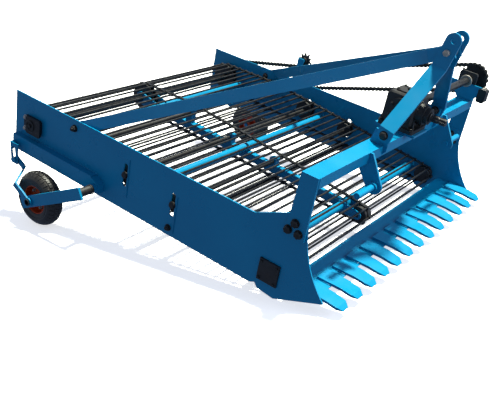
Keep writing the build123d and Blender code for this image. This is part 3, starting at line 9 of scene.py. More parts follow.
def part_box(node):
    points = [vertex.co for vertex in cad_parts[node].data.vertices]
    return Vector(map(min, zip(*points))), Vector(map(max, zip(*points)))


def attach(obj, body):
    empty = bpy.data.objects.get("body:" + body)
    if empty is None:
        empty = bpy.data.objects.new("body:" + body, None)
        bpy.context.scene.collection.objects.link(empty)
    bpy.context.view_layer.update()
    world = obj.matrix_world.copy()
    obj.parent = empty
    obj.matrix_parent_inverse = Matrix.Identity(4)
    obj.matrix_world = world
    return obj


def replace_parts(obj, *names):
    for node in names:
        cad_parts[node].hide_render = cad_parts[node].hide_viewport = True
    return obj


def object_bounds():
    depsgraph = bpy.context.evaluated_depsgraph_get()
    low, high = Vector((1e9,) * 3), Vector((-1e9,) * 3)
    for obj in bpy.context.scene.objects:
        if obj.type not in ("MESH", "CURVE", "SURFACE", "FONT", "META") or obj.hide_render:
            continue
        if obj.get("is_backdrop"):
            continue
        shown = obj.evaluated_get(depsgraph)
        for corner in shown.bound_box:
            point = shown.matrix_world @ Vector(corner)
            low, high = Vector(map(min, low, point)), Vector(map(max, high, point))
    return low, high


# A mounted potato digger. +X is the direction of travel, +Y the machine's left, +Z up. Metres.
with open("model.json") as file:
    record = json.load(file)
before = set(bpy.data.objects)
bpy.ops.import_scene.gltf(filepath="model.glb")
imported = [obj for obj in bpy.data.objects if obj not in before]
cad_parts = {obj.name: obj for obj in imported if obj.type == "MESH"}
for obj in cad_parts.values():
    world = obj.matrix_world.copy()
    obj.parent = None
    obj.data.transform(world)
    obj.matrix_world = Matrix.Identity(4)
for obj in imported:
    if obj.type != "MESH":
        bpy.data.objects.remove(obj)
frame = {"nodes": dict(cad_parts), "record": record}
cad_box = [list(corner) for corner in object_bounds()]
nodes = frame["nodes"]
random.seed(7)

# The frame is pitched nose down. Its side views are in frame coordinates: u forward along a side plate's top
# edge, w square to it and upward, both from the plate's rear top corner. Pairs (u, w) below are such places.
PITCH = radians(10.6)
SINE, COSINE = sin(PITCH), cos(PITCH)
RUNNER = (1.705, -0.346)            # a side plate's lowest corner, which stands on the floor
ORIGIN_X = -0.977
ORIGIN_Z = RUNNER[0] * SINE - RUNNER[1] * COSINE
LEFT = Vector((0, 1, 0))
FORWARD = Vector((COSINE, 0, -SINE))
UP = Vector((SINE, 0, COSINE))

SIDES = (("right", -1), ("left", 1))
CORNERS = ((-1, -1), (-1, 1), (1, -1), (1, 1))      # of a rectangle, as signs along its two sides


def place(u, w, y=0.0):
    return Vector((ORIGIN_X, y, ORIGIN_Z)) + u * FORWARD + w * UP


def middle(node):
    """The middle of a CAD node's box."""
    low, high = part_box(node)
    return (Vector(low) + Vector(high)) / 2


def outer_y(node, sign=1):
    """How far a CAD node reaches from the centre line, to the left or with sign -1 to the right."""
    low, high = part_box(node)
    return high[1] if sign > 0 else -low[1]


def across_at(axis, y):
    """The place on a lateral axis at a distance y to the left of the centre line."""
    return Vector((axis.x, y, axis.z))


HALF_WIDTH = outer_y("hitch_beam")          # to a side plate's outer face
INNER_FACE = outer_y("share_plate")         # to its inner face
LEG_FACE = outer_y("portal_leg_left")       # to a portal leg's outer face


# ---------------------------------------------------------------- shader nodes
def material(name):
    """A new material, its node tree and its shader."""
    m = bpy.data.materials.new(name)
    m.use_nodes = True
    tree = m.node_tree
    tree.nodes.clear()
    out = tree.nodes.new("ShaderNodeOutputMaterial")
    shader = tree.nodes.new("ShaderNodeBsdfPrincipled")
    tree.links.new(shader.outputs[0], out.inputs[0])
    return m, tree, shader


def add(tree, kind, **settings):
    node = tree.nodes.new(kind)
    for key, value in settings.items():
        setattr(node, key, value)
    return node


def noise(tree, coords, scale, detail=4.0, roughness=0.55):
    """Noise from 0 to 1, with scale waves a metre."""
    n = add(tree, "ShaderNodeTexNoise")
    n.inputs["Scale"].default_value = scale
    n.inputs["Detail"].default_value = detail
    n.inputs["Roughness"].default_value = roughness
    tree.links.new(coords, n.inputs["Vector"])
    return n.outputs["Fac"]


def remap(tree, value, low, high, out_low=0.0, out_high=1.0):
    """The range from low to high, stretched to the range from out_low to out_high and clamped."""
    n = add(tree, "ShaderNodeMapRange")
    n.clamp = True
    tree.links.new(value, n.inputs["Value"])
    for key, v in (("From Min", low), ("From Max", high), ("To Min", out_low), ("To Max", out_high)):
        n.inputs[key].default_value = v
    return n.outputs["Result"]


def mix(tree, factor, a, b):
    """From colour a to colour b, each a link or three numbers."""
    n = add(tree, "ShaderNodeMix", data_type="RGBA")
    tree.links.new(factor, n.inputs[0])
    for socket, value in ((n.inputs[6], a), (n.inputs[7], b)):
        if isinstance(value, tuple):
            socket.default_value = (*value, 1.0)
        else:
            tree.links.new(value, socket)
    return n.outputs[2]


def math(tree, operation, a, b):
    """A sum, product or the like of two values, each a link or a number."""
    n = add(tree, "ShaderNodeMath", operation=operation)
    for socket, value in ((n.inputs[0], a), (n.inputs[1], b)):
        if isinstance(value, (int, float)):
            socket.default_value = value
        else:
            tree.links.new(value, socket)
    return n.outputs[0]


def product(tree, first, *others):
    for other in others:
        first = math(tree, "MULTIPLY", first, other)
    return first


def bevel(tree, radius):
    """The surface's normal, as if its edges were rounded by a radius."""
    n = add(tree, "ShaderNodeBevel", samples=4)
    n.inputs["Radius"].default_value = radius
    return n.outputs["Normal"]


def bump(tree, shader, height, strength, distance, rounding=0.0):
    """Relief from a height, over edges that look rounded by the given radius."""
    n = add(tree, "ShaderNodeBump")
    if rounding:
        tree.links.new(bevel(tree, rounding), n.inputs["Normal"])
    n.inputs["Strength"].default_value = strength
    n.inputs["Distance"].default_value = distance
    tree.links.new(height, n.inputs["Height"])
    tree.links.new(n.outputs["Normal"], shader.inputs["Normal"])


def edge_mask(tree, radius):
    """1 near sharp edges, 0 on faces."""
    rounded = bevel(tree, radius)
    geometry = add(tree, "ShaderNodeNewGeometry")
    dot = add(tree, "ShaderNodeVectorMath", operation="DOT_PRODUCT")
    tree.links.new(rounded, dot.inputs[0])
    tree.links.new(geometry.outputs["Normal"], dot.inputs[1])
    return remap(tree, dot.outputs["Value"], 1.0, 0.86)


# ---------------------------------------------------------------- materials
PAINT_DUST, PAINT_DUST_SHARE = (0.05, 0.24, 0.34), 0.05
PAINT_EDGE = 0.002                  # how far from an edge the paint chips
RUST = (0.16, 0.07, 0.03)
IRON_EDGE, IRON_EDGE_SHARE = 0.0015, 0.5
TYRE_DUST, TYRE_DUST_SHARE = (0.05, 0.045, 0.038), 0.25


def paint(name, base, dark, worn, gloss=0.3, wear=0.3):
    """Sprayed enamel: cloudy tone, thin dust, orange peel, fine chips on edges and a few worn spots."""
    m, tree, shader = material(name)
    coords = add(tree, "ShaderNodeTexCoord").outputs["Object"]
    cloud = remap(tree, noise(tree, coords, 3.5, 6.0), 0.3, 0.75)
    colour = mix(tree, cloud, base, dark)
    dust = remap(tree, noise(tree, coords, 60.0, 8.0, 0.7), 0.5, 0.8)
    colour = mix(tree, math(tree, "MULTIPLY", dust, PAINT_DUST_SHARE), colour, PAINT_DUST)

    edges = edge_mask(tree, PAINT_EDGE)
    chips = remap(tree, noise(tree, coords, 34.0, 10.0, 0.75), 0.54, 0.60)
    worn_edges = product(tree, edges, chips, wear)
    spots = remap(tree, noise(tree, coords, 110.0, 3.0, 0.6), 0.765, 0.78)
    patches = remap(tree, noise(tree, coords, 4.0, 2.0), 0.54, 0.64)
    worn_spots = product(tree, spots, patches, wear)
    worn_all = math(tree, "MAXIMUM", worn_edges, worn_spots)
    tree.links.new(mix(tree, worn_all, colour, worn), shader.inputs["Base Color"])

    rough = remap(tree, noise(tree, coords, 9.0, 5.0), 0.3, 0.7, gloss - 0.06, gloss + 0.12)
    rough = math(tree, "ADD", rough, math(tree, "MULTIPLY", worn_all, 0.3))
    tree.links.new(rough, shader.inputs["Roughness"])
    shader.inputs["Specular IOR Level"].default_value = 0.3
    shader.inputs["Coat Weight"].default_value = 0.07
    shader.inputs["Coat Roughness"].default_value = 0.14

    peel = math(tree, "MULTIPLY", noise(tree, coords, 240.0, 2.0), 0.5)
    ripple = math(tree, "MULTIPLY", noise(tree, coords, 18.0, 3.0), 0.9)
    relief = math(tree, "SUBTRACT", math(tree, "ADD", peel, ripple), math(tree, "MULTIPLY", worn_all, 0.5))
    bump(tree, shader, relief, 0.12, 0.0012, rounding=0.0012)
    return m


def iron(name, base, light, rust, rough, metal, grain=300.0):
    """Bare, blackened or oiled iron: mottled, lighter on its edges, with a dull grain and a trace of rust."""
    m, tree, shader = material(name)
    coords = add(tree, "ShaderNodeTexCoord").outputs["Object"]
    cloud = remap(tree, noise(tree, coords, 22.0, 8.0, 0.65), 0.35, 0.7)
    colour = mix(tree, cloud, base, light)
    edges = math(tree, "MULTIPLY", edge_mask(tree, IRON_EDGE), IRON_EDGE_SHARE)
    rubbed = tuple(min(1.0, 3.0 * c + 0.03) for c in light)
    colour = mix(tree, edges, colour, rubbed)
    stains = remap(tree, noise(tree, coords, 12.0, 8.0, 0.7), 0.56, 0.68)
    colour = mix(tree, math(tree, "MULTIPLY", stains, rust), colour, RUST)
    tree.links.new(colour, shader.inputs["Base Color"])
    shader.inputs["Metallic"].default_value = metal
    tree.links.new(remap(tree, noise(tree, coords, 40.0, 6.0), 0.3, 0.7, rough - 0.1, rough + 0.15),
                   shader.inputs["Roughness"])
    bump(tree, shader, noise(tree, coords, grain, 4.0, 0.6), 0.2, 0.0006, rounding=0.0008)
    return m


def rubber(name, base, light):
    """Tyre rubber: mottled and dusty, duller where the dust lies."""
    m, tree, shader = material(name)
    coords = add(tree, "ShaderNodeTexCoord").outputs["Object"]
    cloud = remap(tree, noise(tree, coords, 14.0, 8.0, 0.65), 0.35, 0.72)
    colour = mix(tree, cloud, base, light)
    dust = remap(tree, noise(tree, coords, 6.0, 9.0, 0.7), 0.5, 0.75)
    colour = mix(tree, math(tree, "MULTIPLY", dust, TYRE_DUST_SHARE), colour, TYRE_DUST)
    tree.links.new(colour, shader.inputs["Base Color"])
    tree.links.new(remap(tree, dust, 0.0, 1.0, 0.42, 0.72), shader.inputs["Roughness"])
    bump(tree, shader, noise(tree, coords, 420.0, 5.0, 0.6), 0.3, 0.0006)
    return m


BLUE = paint("blue_enamel", (0.001, 0.215, 0.41), (0.0005, 0.185, 0.37), (0.07, 0.16, 0.20))
BLACK = iron("black_casting", (0.005, 0.005, 0.0055), (0.012, 0.012, 0.013), rust=0.05, rough=0.5, metal=0.0)
WEB = iron("web_steel", (0.0045, 0.0047, 0.0052), (0.012, 0.0122, 0.0125), rust=0.06, rough=0.34, metal=0.0,
           grain=160.0)
TURNED = iron("turned_steel", (0.020, 0.020, 0.021), (0.045, 0.045, 0.046), rust=0.05, rough=0.32, metal=0.5)
CHAIN = iron("oiled_chain", (0.014, 0.014, 0.014), (0.042, 0.039, 0.035), rust=0.12, rough=0.34, metal=0.5)
ZINC = iron("zinc_bolt", (0.27, 0.25, 0.21), (0.42, 0.385, 0.33), rust=0.05, rough=0.42, metal=0.6)
DARK_BOLT = iron("dark_bolt", (0.006, 0.006, 0.0065), (0.018, 0.0175, 0.017), rust=0.08, rough=0.4, metal=0.3)
TYRE = rubber("tyre_rubber", (0.010, 0.0085, 0.0075), (0.024, 0.022, 0.020))
RIM = paint("rim_enamel", (0.62, 0.075, 0.012), (0.48, 0.052, 0.010), (0.20, 0.15, 0.12),
            gloss=0.38, wear=0.5)

SLOT_MATERIALS = {
    "frame_paint": BLUE, "black_paint": BLACK, "machined_steel": TURNED, "web_steel": WEB,
    "roller_iron": BLACK, "chain_steel": CHAIN, "pin_steel": BLUE, "tyre": TYRE, "rim_paint": RIM}
slot_of = {part["node"]: part["material_slot"] for part in frame["record"]["subparts"]}
for name, node in nodes.items():
    node.data.materials.clear()
    node.data.materials.append(SLOT_MATERIALS[slot_of[name]])


# ---------------------------------------------------------------- shapes
def stack(bm, base, axis, sections, across=None):
    """A closed solid of rings along an axis from base: each section is (height, radii round the axis)."""
    axis = axis.normalized()
    across = (across or axis.orthogonal()).normalized()
    along = axis.cross(across)
    rings = []
    for height, radii in sections:
        count = len(radii)
        rings.append([bm.verts.new(base + height * axis + radius * (cos(2 * pi * i / count) * across
                                                                   + sin(2 * pi * i / count) * along))
                      for i, radius in enumerate(radii)])
    for low, high in zip(rings, rings[1:]):
        wall(bm, low, high)
    bm.faces.new(rings[0][::-1])
    bm.faces.new(rings[-1])


def wall(bm, low, high):
    """The faces between two closed rings of as many vertices."""
    count = len(low)
    for i in range(count):
        j = (i + 1) % count
        bm.faces.new((low[i], low[j], high[j], high[i]))


def turned(bm, base, axis, profile, sides=24, across=None):
    """A turned solid with a profile of (radius, height), or a prism where sides is small."""
    stack(bm, base, axis, [(height, [radius] * sides) for radius, height in profile], across)


def prism(bm, outline, root, tip):
    """A flat plate with an outline of (u, w), between two distances from the centre line."""
    low = [bm.verts.new(place(u, w, root)) for u, w in outline]
    high = [bm.verts.new(place(u, w, tip)) for u, w in outline]
    wall(bm, low, high)
    caps = [bm.faces.new(low[::-1]), bm.faces.new(high)]
    bmesh.ops.triangulate(bm, faces=caps)


# --- bolts: shares of the thread's size
WASHER_SPREAD = 1.05                # a washer's radius
WASHER_THICK = 0.16
HEX_CORNER = 0.87                   # a hexagon's radius over its corners
HEAD_HEIGHT, NUT_HEIGHT = 0.64, 0.8
THREAD_STEP = 0.002                 # in metres, coarser than a real thread


def spun(axis):
    """A random direction square to an axis, so that no two bolts are turned alike."""
    return Matrix.Rotation(random.uniform(0, pi), 3, axis) @ axis.orthogonal()


def washer(bm, base, axis, size, spread=WASHER_SPREAD):
    thick = WASHER_THICK * size
    turned(bm, base, axis, ((spread * size, 0), (spread * size, 0.8 * thick),
                            (0.97 * spread * size, thick)), 28)
    return base + thick * axis


def hexagon(bm, base, axis, size, height):
    """A hexagonal head or nut, with its upper corners turned off."""
    corner = HEX_CORNER * size
    turned(bm, base, axis, ((0.95 * corner, 0), (corner, 0.06 * height), (corner, 0.82 * height),
                            (0.86 * corner, height)), 6, spun(axis))
    return base + height * axis


def bolt(bm, base, axis, size, spread=WASHER_SPREAD):
    """The head end of a bolt of this thread size, standing out along axis on its washer."""
    top = washer(bm, base, axis, size, spread)
    top = hexagon(bm, top, axis, size, HEAD_HEIGHT * size)
    turned(bm, top - 0.0002 * axis, axis, ((0.66 * size, 0), (0.6 * size, 0.0006)), 24)


def nut(bm, base, axis, size, tail=0.35, spread=WASHER_SPREAD):
    """The nut end of the same bolt, with the thread's end standing out of it."""
    top = washer(bm, base, axis, size, spread)
    top = hexagon(bm, top, axis, size, NUT_HEIGHT * size)
    crest, root = 0.5 * size, 0.455 * size
    rings = [(crest, 0.0)]
    for i in range(max(1, int(tail * size / THREAD_STEP))):
        foot = THREAD_STEP * i
        rings += [(crest, foot + 0.0004), (root, foot + 0.0012), (crest, foot + THREAD_STEP)]
    rings.append((0.4 * size, rings[-1][1] + 0.1 * size))
    turned(bm, top, axis, rings, 20)


def bolt_corner(base, across, rise, reach):
    """A corner of a bolt rectangle on a side face, with half its length and height."""
    return base + (across * reach[0] * FORWARD + rise * reach[1] * UP)


# --- welds
BEAD_SIZE = 0.003                   # a bead's radius
BEAD_STEP = 0.0028                  # from ripple to ripple


def bead(bm, points, size=BEAD_SIZE):
    """A weld bead along a line of points: overlapping ripples, a little uneven, half sunk in its corner."""
    path = []
    for start, end in zip(points, points[1:]):
        count = max(1, round((end - start).length / BEAD_STEP))
        path += [start.lerp(end, i / count) for i in range(count)]
    path.append(points[-1])
    rings = []
    for i, point in enumerate(path):
        run = (path[min(i + 1, len(path) - 1)] - path[max(i - 1, 0)]).normalized()
        across = run.orthogonal().normalized()
        along = run.cross(across)
        radius = size * (0.86 + 0.2 * (i % 2) + random.uniform(-0.07, 0.07))
        radius *= 0.55 if i in (0, len(path) - 1) else 1.0
        rings.append([bm.verts.new(point + radius * (cos(pi * k / 3) * across + sin(pi * k / 3) * along))
                      for k in range(6)])
    for low, high in zip(rings, rings[1:]):
        # orthogonal() may start two rings differently, so each is turned to match the one before
        shift = min(range(6), key=lambda s: (high[s].co - low[0].co).length)
        wall(bm, low, high[shift:] + high[:shift])
    bm.faces.new(rings[0][::-1])
    bm.faces.new(rings[-1])


def weld(bm, *places, size=BEAD_SIZE):
    """A weld bead through places given as (u, w, y)."""
    bead(bm, [place(*spot) for spot in places], size)


def piece(bm, name, material, body="frame", sharp=38.0):
    """Ends a piece: its mesh becomes an object that rides on a body."""
    bmesh.ops.recalc_face_normals(bm, faces=bm.faces)
    mesh = bpy.data.meshes.new(name)
    bm.to_mesh(mesh)
    bm.free()
    mesh.shade_smooth()
    mesh.set_sharp_from_angle(angle=radians(sharp))
    mesh.materials.append(material)
    obj = bpy.data.objects.new(name, mesh)
    bpy.context.scene.collection.objects.link(obj)
    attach(obj, body)
    return obj


# ---------------------------------------------------------------- bolts of the frame
# thread sizes
M5, M8, M9, M10, M11, M12, M14, M16, M18, M20 = (
    size / 1000 for size in (5, 8, 9, 10, 11, 12, 14, 16, 18, 20))

BEAM_TOP = 0.272
MAST_U = 1.772                      # where the mast's centre line meets the beam's top
MAST_LEAN = radians(12.2)


def on_mast(height):
    """A place on the mast's centre line at a height above the hitch beam's top."""
    return MAST_U + height * sin(MAST_LEAN), BEAM_TOP + height * cos(MAST_LEAN)


MAST_FOOT_BOLT = on_mast(0.050)
MAST_BOLT = on_mast(0.422)
MAST_FOOT_FACES = (0.297, 0.273)    # outer face of a mast bar's foot, inner face of its lug
MAST_TOP_FACES = (0.051, 0.029)     # outer face of a mast bar's top, inner face of a brace's
LEG_BOLTS = ((1.737, 0.049), (1.710, 0.010), (1.761, 0.008))
BRACE_REAR = (0.440, -0.046)
BRACE_THICK = 0.010
CARRIER_SHAFTS = ((0.798, -0.147), (1.102, -0.168))     # the ends that clamp the carriers in their slots
CARRIER_WASHER, CARRIER_NUT, CARRIER_NUT_HEIGHT = 0.019, 0.0195, 0.0075
RETURN_SHAFT = (1.095, -0.290)


def frame_bolts(dark, zinc):
    """Bolts of the legs, the mast, the braces and the carriers' shafts."""
    for _, sign in SIDES:
        out = sign * LEFT
        for u, w in LEG_BOLTS:
            bolt(dark, place(u, w, sign * LEG_FACE), out, M20, spread=1.0)
            nut(dark, place(u, w, sign * INNER_FACE), -out, M16)
        bolt(dark, place(*MAST_FOOT_BOLT, sign * MAST_FOOT_FACES[0]), out, M20)
        nut(dark, place(*MAST_FOOT_BOLT, sign * MAST_FOOT_FACES[1]), -out, M20)
        bolt(zinc, place(*MAST_BOLT, sign * MAST_TOP_FACES[0]), out, M18, spread=0.8)
        nut(zinc, place(*MAST_BOLT, sign * MAST_TOP_FACES[1]), -out, M20, tail=0.15)
        bolt(dark, place(*BRACE_REAR, sign * (INNER_FACE - BRACE_THICK)), -out, M18)
        nut(dark, place(*BRACE_REAR, sign * HALF_WIDTH), out, M18)
        for u, w in CARRIER_SHAFTS:
            top = washer(dark, place(u, w, sign * HALF_WIDTH), out, CARRIER_WASHER, spread=0.95)
            hexagon(dark, top, out, CARRIER_NUT, CARRIER_NUT_HEIGHT)
        nut(dark, place(*RETURN_SHAFT, sign * HALF_WIDTH), out, M16)


# --- rear take-ups and front covers
rear_axis = middle("rear_bearings")
TAKE_UP_BOLTS = (0.048, 0.030)      # from the rear shaft's axis
TAKE_UP_FACE = HALF_WIDTH + 0.014
TAKE_UP_WASHER = 0.0135             # under each bolt's own washer
TAKE_UP_LIFT = 0.0015               # from the face to a bolt, for that washer
COVER_BOLTS = (0.039, 0.041)        # from the front rollers' axis
FRONT_ROLLER = (1.661, -0.233)
SHAFT_CUP = ((0.030, 0), (0.030, 0.0045), (0.028, 0.0065), (0.022, 0.0065), (0.020, 0.0025), (0.010, 0.0025))
CUP_SINK = 0.001                    # how far the cup sits in the bearing's end
CUP_FLOOR = 0.0012                  # where its bolt starts, from that end


def end_bearing_bolts(dark, zinc):
    """Bolts of the rear take-ups and the front covers, and the cup washer on the rear shaft's right end."""
    for _, sign in SIDES:
        out = sign * LEFT
        take_up = across_at(rear_axis, sign * TAKE_UP_FACE)
        cover = place(*FRONT_ROLLER, sign * outer_y("front_covers"))
        for across, rise in CORNERS:
            spot = bolt_corner(take_up, across, rise, TAKE_UP_BOLTS)
            washer(zinc, spot, out, TAKE_UP_WASHER, spread=1.0)
            bolt(zinc if across < 0 else dark, spot + TAKE_UP_LIFT * out, out, M11, spread=0.9)
            bolt(dark, bolt_corner(cover, across, rise, COVER_BOLTS), out, M8)
        if sign < 0:
            end = across_at(rear_axis, -outer_y("rear_bearings"))
            turned(dark, end - CUP_SINK * out, out, SHAFT_CUP, 40)
            bolt(dark, end + CUP_FLOOR * out, out, M12)


# --- blocks of the rear take-ups, which the shaft's bearings slide in
BLOCK_REAR, BLOCK_FRONT, BLOCK_HALF = 0.036, 0.071, 0.047      # from the rear shaft's axis
BLOCK_CORNER = 0.009
BLOCK_THICK = 0.0098
BLOCK_SINK = 0.0005


def take_up_blocks(bm):
    dx, dz = rear_axis.x - ORIGIN_X, rear_axis.z - ORIGIN_Z
    shaft_u, shaft_w = dx * COSINE - dz * SINE, dx * SINE + dz * COSINE
    outline = [(shaft_u + u, shaft_w + w) for u, w in (
        (-BLOCK_REAR + BLOCK_CORNER, -BLOCK_HALF), (BLOCK_FRONT - BLOCK_CORNER, -BLOCK_HALF),
        (BLOCK_FRONT, -BLOCK_HALF + BLOCK_CORNER), (BLOCK_FRONT, BLOCK_HALF - BLOCK_CORNER),
        (BLOCK_FRONT - BLOCK_CORNER, BLOCK_HALF), (-BLOCK_REAR + BLOCK_CORNER, BLOCK_HALF),
        (-BLOCK_REAR, BLOCK_HALF - BLOCK_CORNER), (-BLOCK_REAR, -BLOCK_HALF + BLOCK_CORNER))]
    for _, sign in SIDES:
        prism(bm, outline, sign * (TAKE_UP_FACE - BLOCK_SINK), sign * (TAKE_UP_FACE + BLOCK_THICK))


# --- chain idler
IDLER_WASHER, IDLER_NUT, IDLER_NUT_HEIGHT = 0.018, 0.020, 0.004
STRAP_BOLTS = ((0.630, -0.046), (0.667, -0.046))
STRAP_THICK = 0.010


def idler_bolts(bm):
    """The nut on the idler's stub and the bolts of its strap."""
    top = washer(bm, across_at(middle("idler_sprocket"), outer_y("idler_sprocket")), LEFT, IDLER_WASHER)
    hexagon(bm, top, LEFT, IDLER_NUT, IDLER_NUT_HEIGHT)
    for u, w in STRAP_BOLTS:
        bolt(bm, place(u, w, HALF_WIDTH + STRAP_THICK), LEFT, M8)


# --- the cross shaft's bearing, its clamp block and its ring
drive_axis = middle("shaft_coupling")
BEARING_FACE = 0.802
BEARING_BOLTS = 0.036
CLAMP_Y = (0.771, 0.823)            # the block round the front end of the bearing's bracket
CLAMP = ((1.818, 0.290), (1.826, 0.283), (1.856, 0.283), (1.864, 0.291), (1.864, 0.348), (1.856, 0.357),
         (1.826, 0.357), (1.818, 0.350))
CLAMP_BOLTS = ((1.841, 0.357, 0.782), (1.841, 0.357, 0.812))
RING = ((0.025, 0), (0.025, 0.010), (0.0315, 0.0102), (0.033, 0.0115), (0.033, 0.017), (0.0315, 0.0185),
        (0.0245, 0.0185), (0.0225, 0.015), (0.0125, 0.015))


def drive_bearing_parts(dark, zinc):
    """The bearing's bolts, the clamp block with its bolts, and the light ring where the shaft enters."""
    face = across_at(drive_axis, BEARING_FACE)
    for across, rise in CORNERS:
        bolt(dark, face + BEARING_BOLTS * (across * FORWARD + rise * UP), LEFT, M14)
    prism(dark, CLAMP, *CLAMP_Y)
    for spot in CLAMP_BOLTS:
        bolt(zinc, place(*spot), UP, M10)
    ring_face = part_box("drive_bearing")[0][1]
    turned(zinc, across_at(drive_axis, ring_face), -LEFT, RING, 48)


# --- gearbox
GEARBOX_U = 1.736
FOOT_TOP, FOOT_BOLTS = 0.302, (0.078, 0.070)    # bolts: fore and aft and across, from the middle
LID_TOP, LID_BOLTS = 0.459, 0.038
LID_SET_BACK = 0.008
BODY_HALF = 0.070
LEFT_FLANGE = (BODY_HALF + 0.030, 0.055)        # a flange's distance from the axis, its bolt circle's radius
RIGHT_FLANGE = (BODY_HALF + 0.008, 0.048)
FRONT_FLANGE = (0.0701, 0.0535)
FLANGE_BOLTS = 6


def gearbox_bolts(bm):
    """Bolts of the foot and the lid, and of the flanges on the left, on the right and in front."""
    for across, rise in CORNERS:
        bolt(bm, place(GEARBOX_U + FOOT_BOLTS[0] * across, FOOT_TOP, FOOT_BOLTS[1] * rise), UP, M12)
        bolt(bm, place(GEARBOX_U - LID_SET_BACK + LID_BOLTS * across, LID_TOP, LID_BOLTS * rise), UP, M8)
    centre = across_at(drive_axis, 0)
    for i in range(FLANGE_BOLTS):
        angle = 2 * pi * (i + 0.5) / FLANGE_BOLTS
        ray = cos(angle) * FORWARD + sin(angle) * UP
        bolt(bm, centre + LEFT_FLANGE[0] * LEFT + LEFT_FLANGE[1] * ray, LEFT, M8)
        bolt(bm, centre - RIGHT_FLANGE[0] * LEFT + RIGHT_FLANGE[1] * ray, -LEFT, M9)
        ray = cos(angle) * LEFT + sin(angle) * UP
        bolt(bm, centre + FRONT_FLANGE[0] * FORWARD + FRONT_FLANGE[1] * ray, FORWARD, M5)


dark_bolts, zinc_bolts = bmesh.new(), bmesh.new()
frame_bolts(dark_bolts, zinc_bolts)
end_bearing_bolts(dark_bolts, zinc_bolts)
idler_bolts(dark_bolts)
drive_bearing_parts(dark_bolts, zinc_bolts)
gearbox_bolts(dark_bolts)
take_up_blocks(dark_bolts)
piece(dark_bolts, "frame_bolts_black", DARK_BOLT)
piece(zinc_bolts, "frame_bolts_zinc", ZINC)

# ---------------------------------------------------------------- grease nipples
NIPPLE = ((0.0035, 0), (0.0035, 0.004), (0.002, 0.005), (0.0026, 0.007), (0.0012, 0.009))
NIPPLE_RISE = 0.0355                # from a shaft's axis to a nipple's foot
DRIVE_NIPPLE_Y = 0.808
REAR_NIPPLE_Y = HALF_WIDTH + 0.019

nipples = bmesh.new()
turned(nipples, across_at(drive_axis, DRIVE_NIPPLE_Y) + NIPPLE_RISE * UP, UP, NIPPLE, 12)
for _, sign in SIDES:
    turned(nipples, across_at(rear_axis, sign * REAR_NIPPLE_Y) + NIPPLE_RISE * UP, UP, NIPPLE, 12)
piece(nipples, "grease_nipples", ZINC)

# ---------------------------------------------------------------- roller chain with waisted plates
CHAIN_PITCH = 0.0254
PLATE_ROUND, PLATE_WAIST = 0.0116, 0.0066      # half heights of a plate, at its ends and its middle
PLATE_THICK = 0.0024
INNER_PLATES, OUTER_PLATES = 0.0084, 0.0110    # inner faces of the two kinds of plate, from the middle
PLATE_ARC, PLATE_STEPS = 112, 8                # degrees each way of a plate's round end, and its edges
ROLLER, RIVET = 0.0079, 0.0042
RIVET_HEAD = 0.0007


def islands(mesh):
    """The places of the vertices of each separate part of a mesh."""
    seen = set()
    for first in mesh.verts:
        if first in seen:
            continue
        seen.add(first)
        island, front = [], [first]
        while front:
            vert = front.pop()
            island.append(vert.co.copy())
            for edge in vert.link_edges:
                other = edge.other_vert(vert)
                if other not in seen:
                    seen.add(other)
                    front.append(other)
        yield island


def chain_links(node):
    """The middle and direction of each link of the CAD chain, and whether its plates are the outer ones."""
    mesh = bmesh.new()
    mesh.from_mesh(nodes[node].data)
    bmesh.ops.remove_doubles(mesh, verts=mesh.verts, dist=1e-6)
    for island in islands(mesh):
        low = Vector([min(co[i] for co in island) for i in range(3)])
        high = Vector([max(co[i] for co in island) for i in range(3)])
        centre = (low + high) / 2
        far = max(island, key=lambda co: hypot(co.x - centre.x, co.z - centre.z))
        ends = [co - centre for co in island if (co - centre).dot(far - centre) > 0]
        run = sum(ends, Vector())
        run.y = 0.0
        yield centre, run.normalized(), high.y - low.y > 2.2 * OUTER_PLATES
    mesh.free()


def waisted(bm, centre, run, face_y, thick):
    """A figure-of-eight link plate between face_y and face_y + thick."""
    rise = run.cross(LEFT)
    outline = []
    for end in (1, -1):
        for k in range(PLATE_STEPS + 1):
            angle = radians(-PLATE_ARC + 2 * PLATE_ARC * k / PLATE_STEPS)
            ahead = CHAIN_PITCH / 2 + PLATE_ROUND * cos(angle)
            outline.append(end * (ahead * run + PLATE_ROUND * sin(angle) * rise))
        outline.append(end * PLATE_WAIST * rise)
    low = [bm.verts.new(centre + point + face_y * LEFT) for point in outline]
    high = [bm.verts.new(centre + point + (face_y + thick) * LEFT) for point in outline]
    wall(bm, low, high)
    bm.faces.new(low[::-1])
    bm.faces.new(high)


def chain_link(bm, centre, run, is_outer):
    """Two plates with two rivets, or with two rollers between them."""
    gap = OUTER_PLATES if is_outer else INNER_PLATES
    waisted(bm, centre, run, gap, PLATE_THICK)
    waisted(bm, centre, run, -gap - PLATE_THICK, PLATE_THICK)
    tip = OUTER_PLATES + PLATE_THICK
    rivet = ((0.6 * RIVET, 0), (RIVET, RIVET_HEAD), (RIVET, 2 * tip + RIVET_HEAD),
             (0.6 * RIVET, 2 * tip + 2 * RIVET_HEAD))
    roller = ((ROLLER, 0), (ROLLER, 2 * INNER_PLATES))
    for end in (-1, 1):
        pin = centre + end * CHAIN_PITCH / 2 * run
        if is_outer:
            turned(bm, pin - (tip + RIVET_HEAD) * LEFT, LEFT, rivet, 12)
        else:
            turned(bm, pin - INNER_PLATES * LEFT, LEFT, roller, 16)


chain = bmesh.new()
for centre, run, is_outer in chain_links("drive_chain"):
    chain_link(chain, centre, run, is_outer)
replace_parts(piece(chain, "roller_chain", CHAIN), "drive_chain")

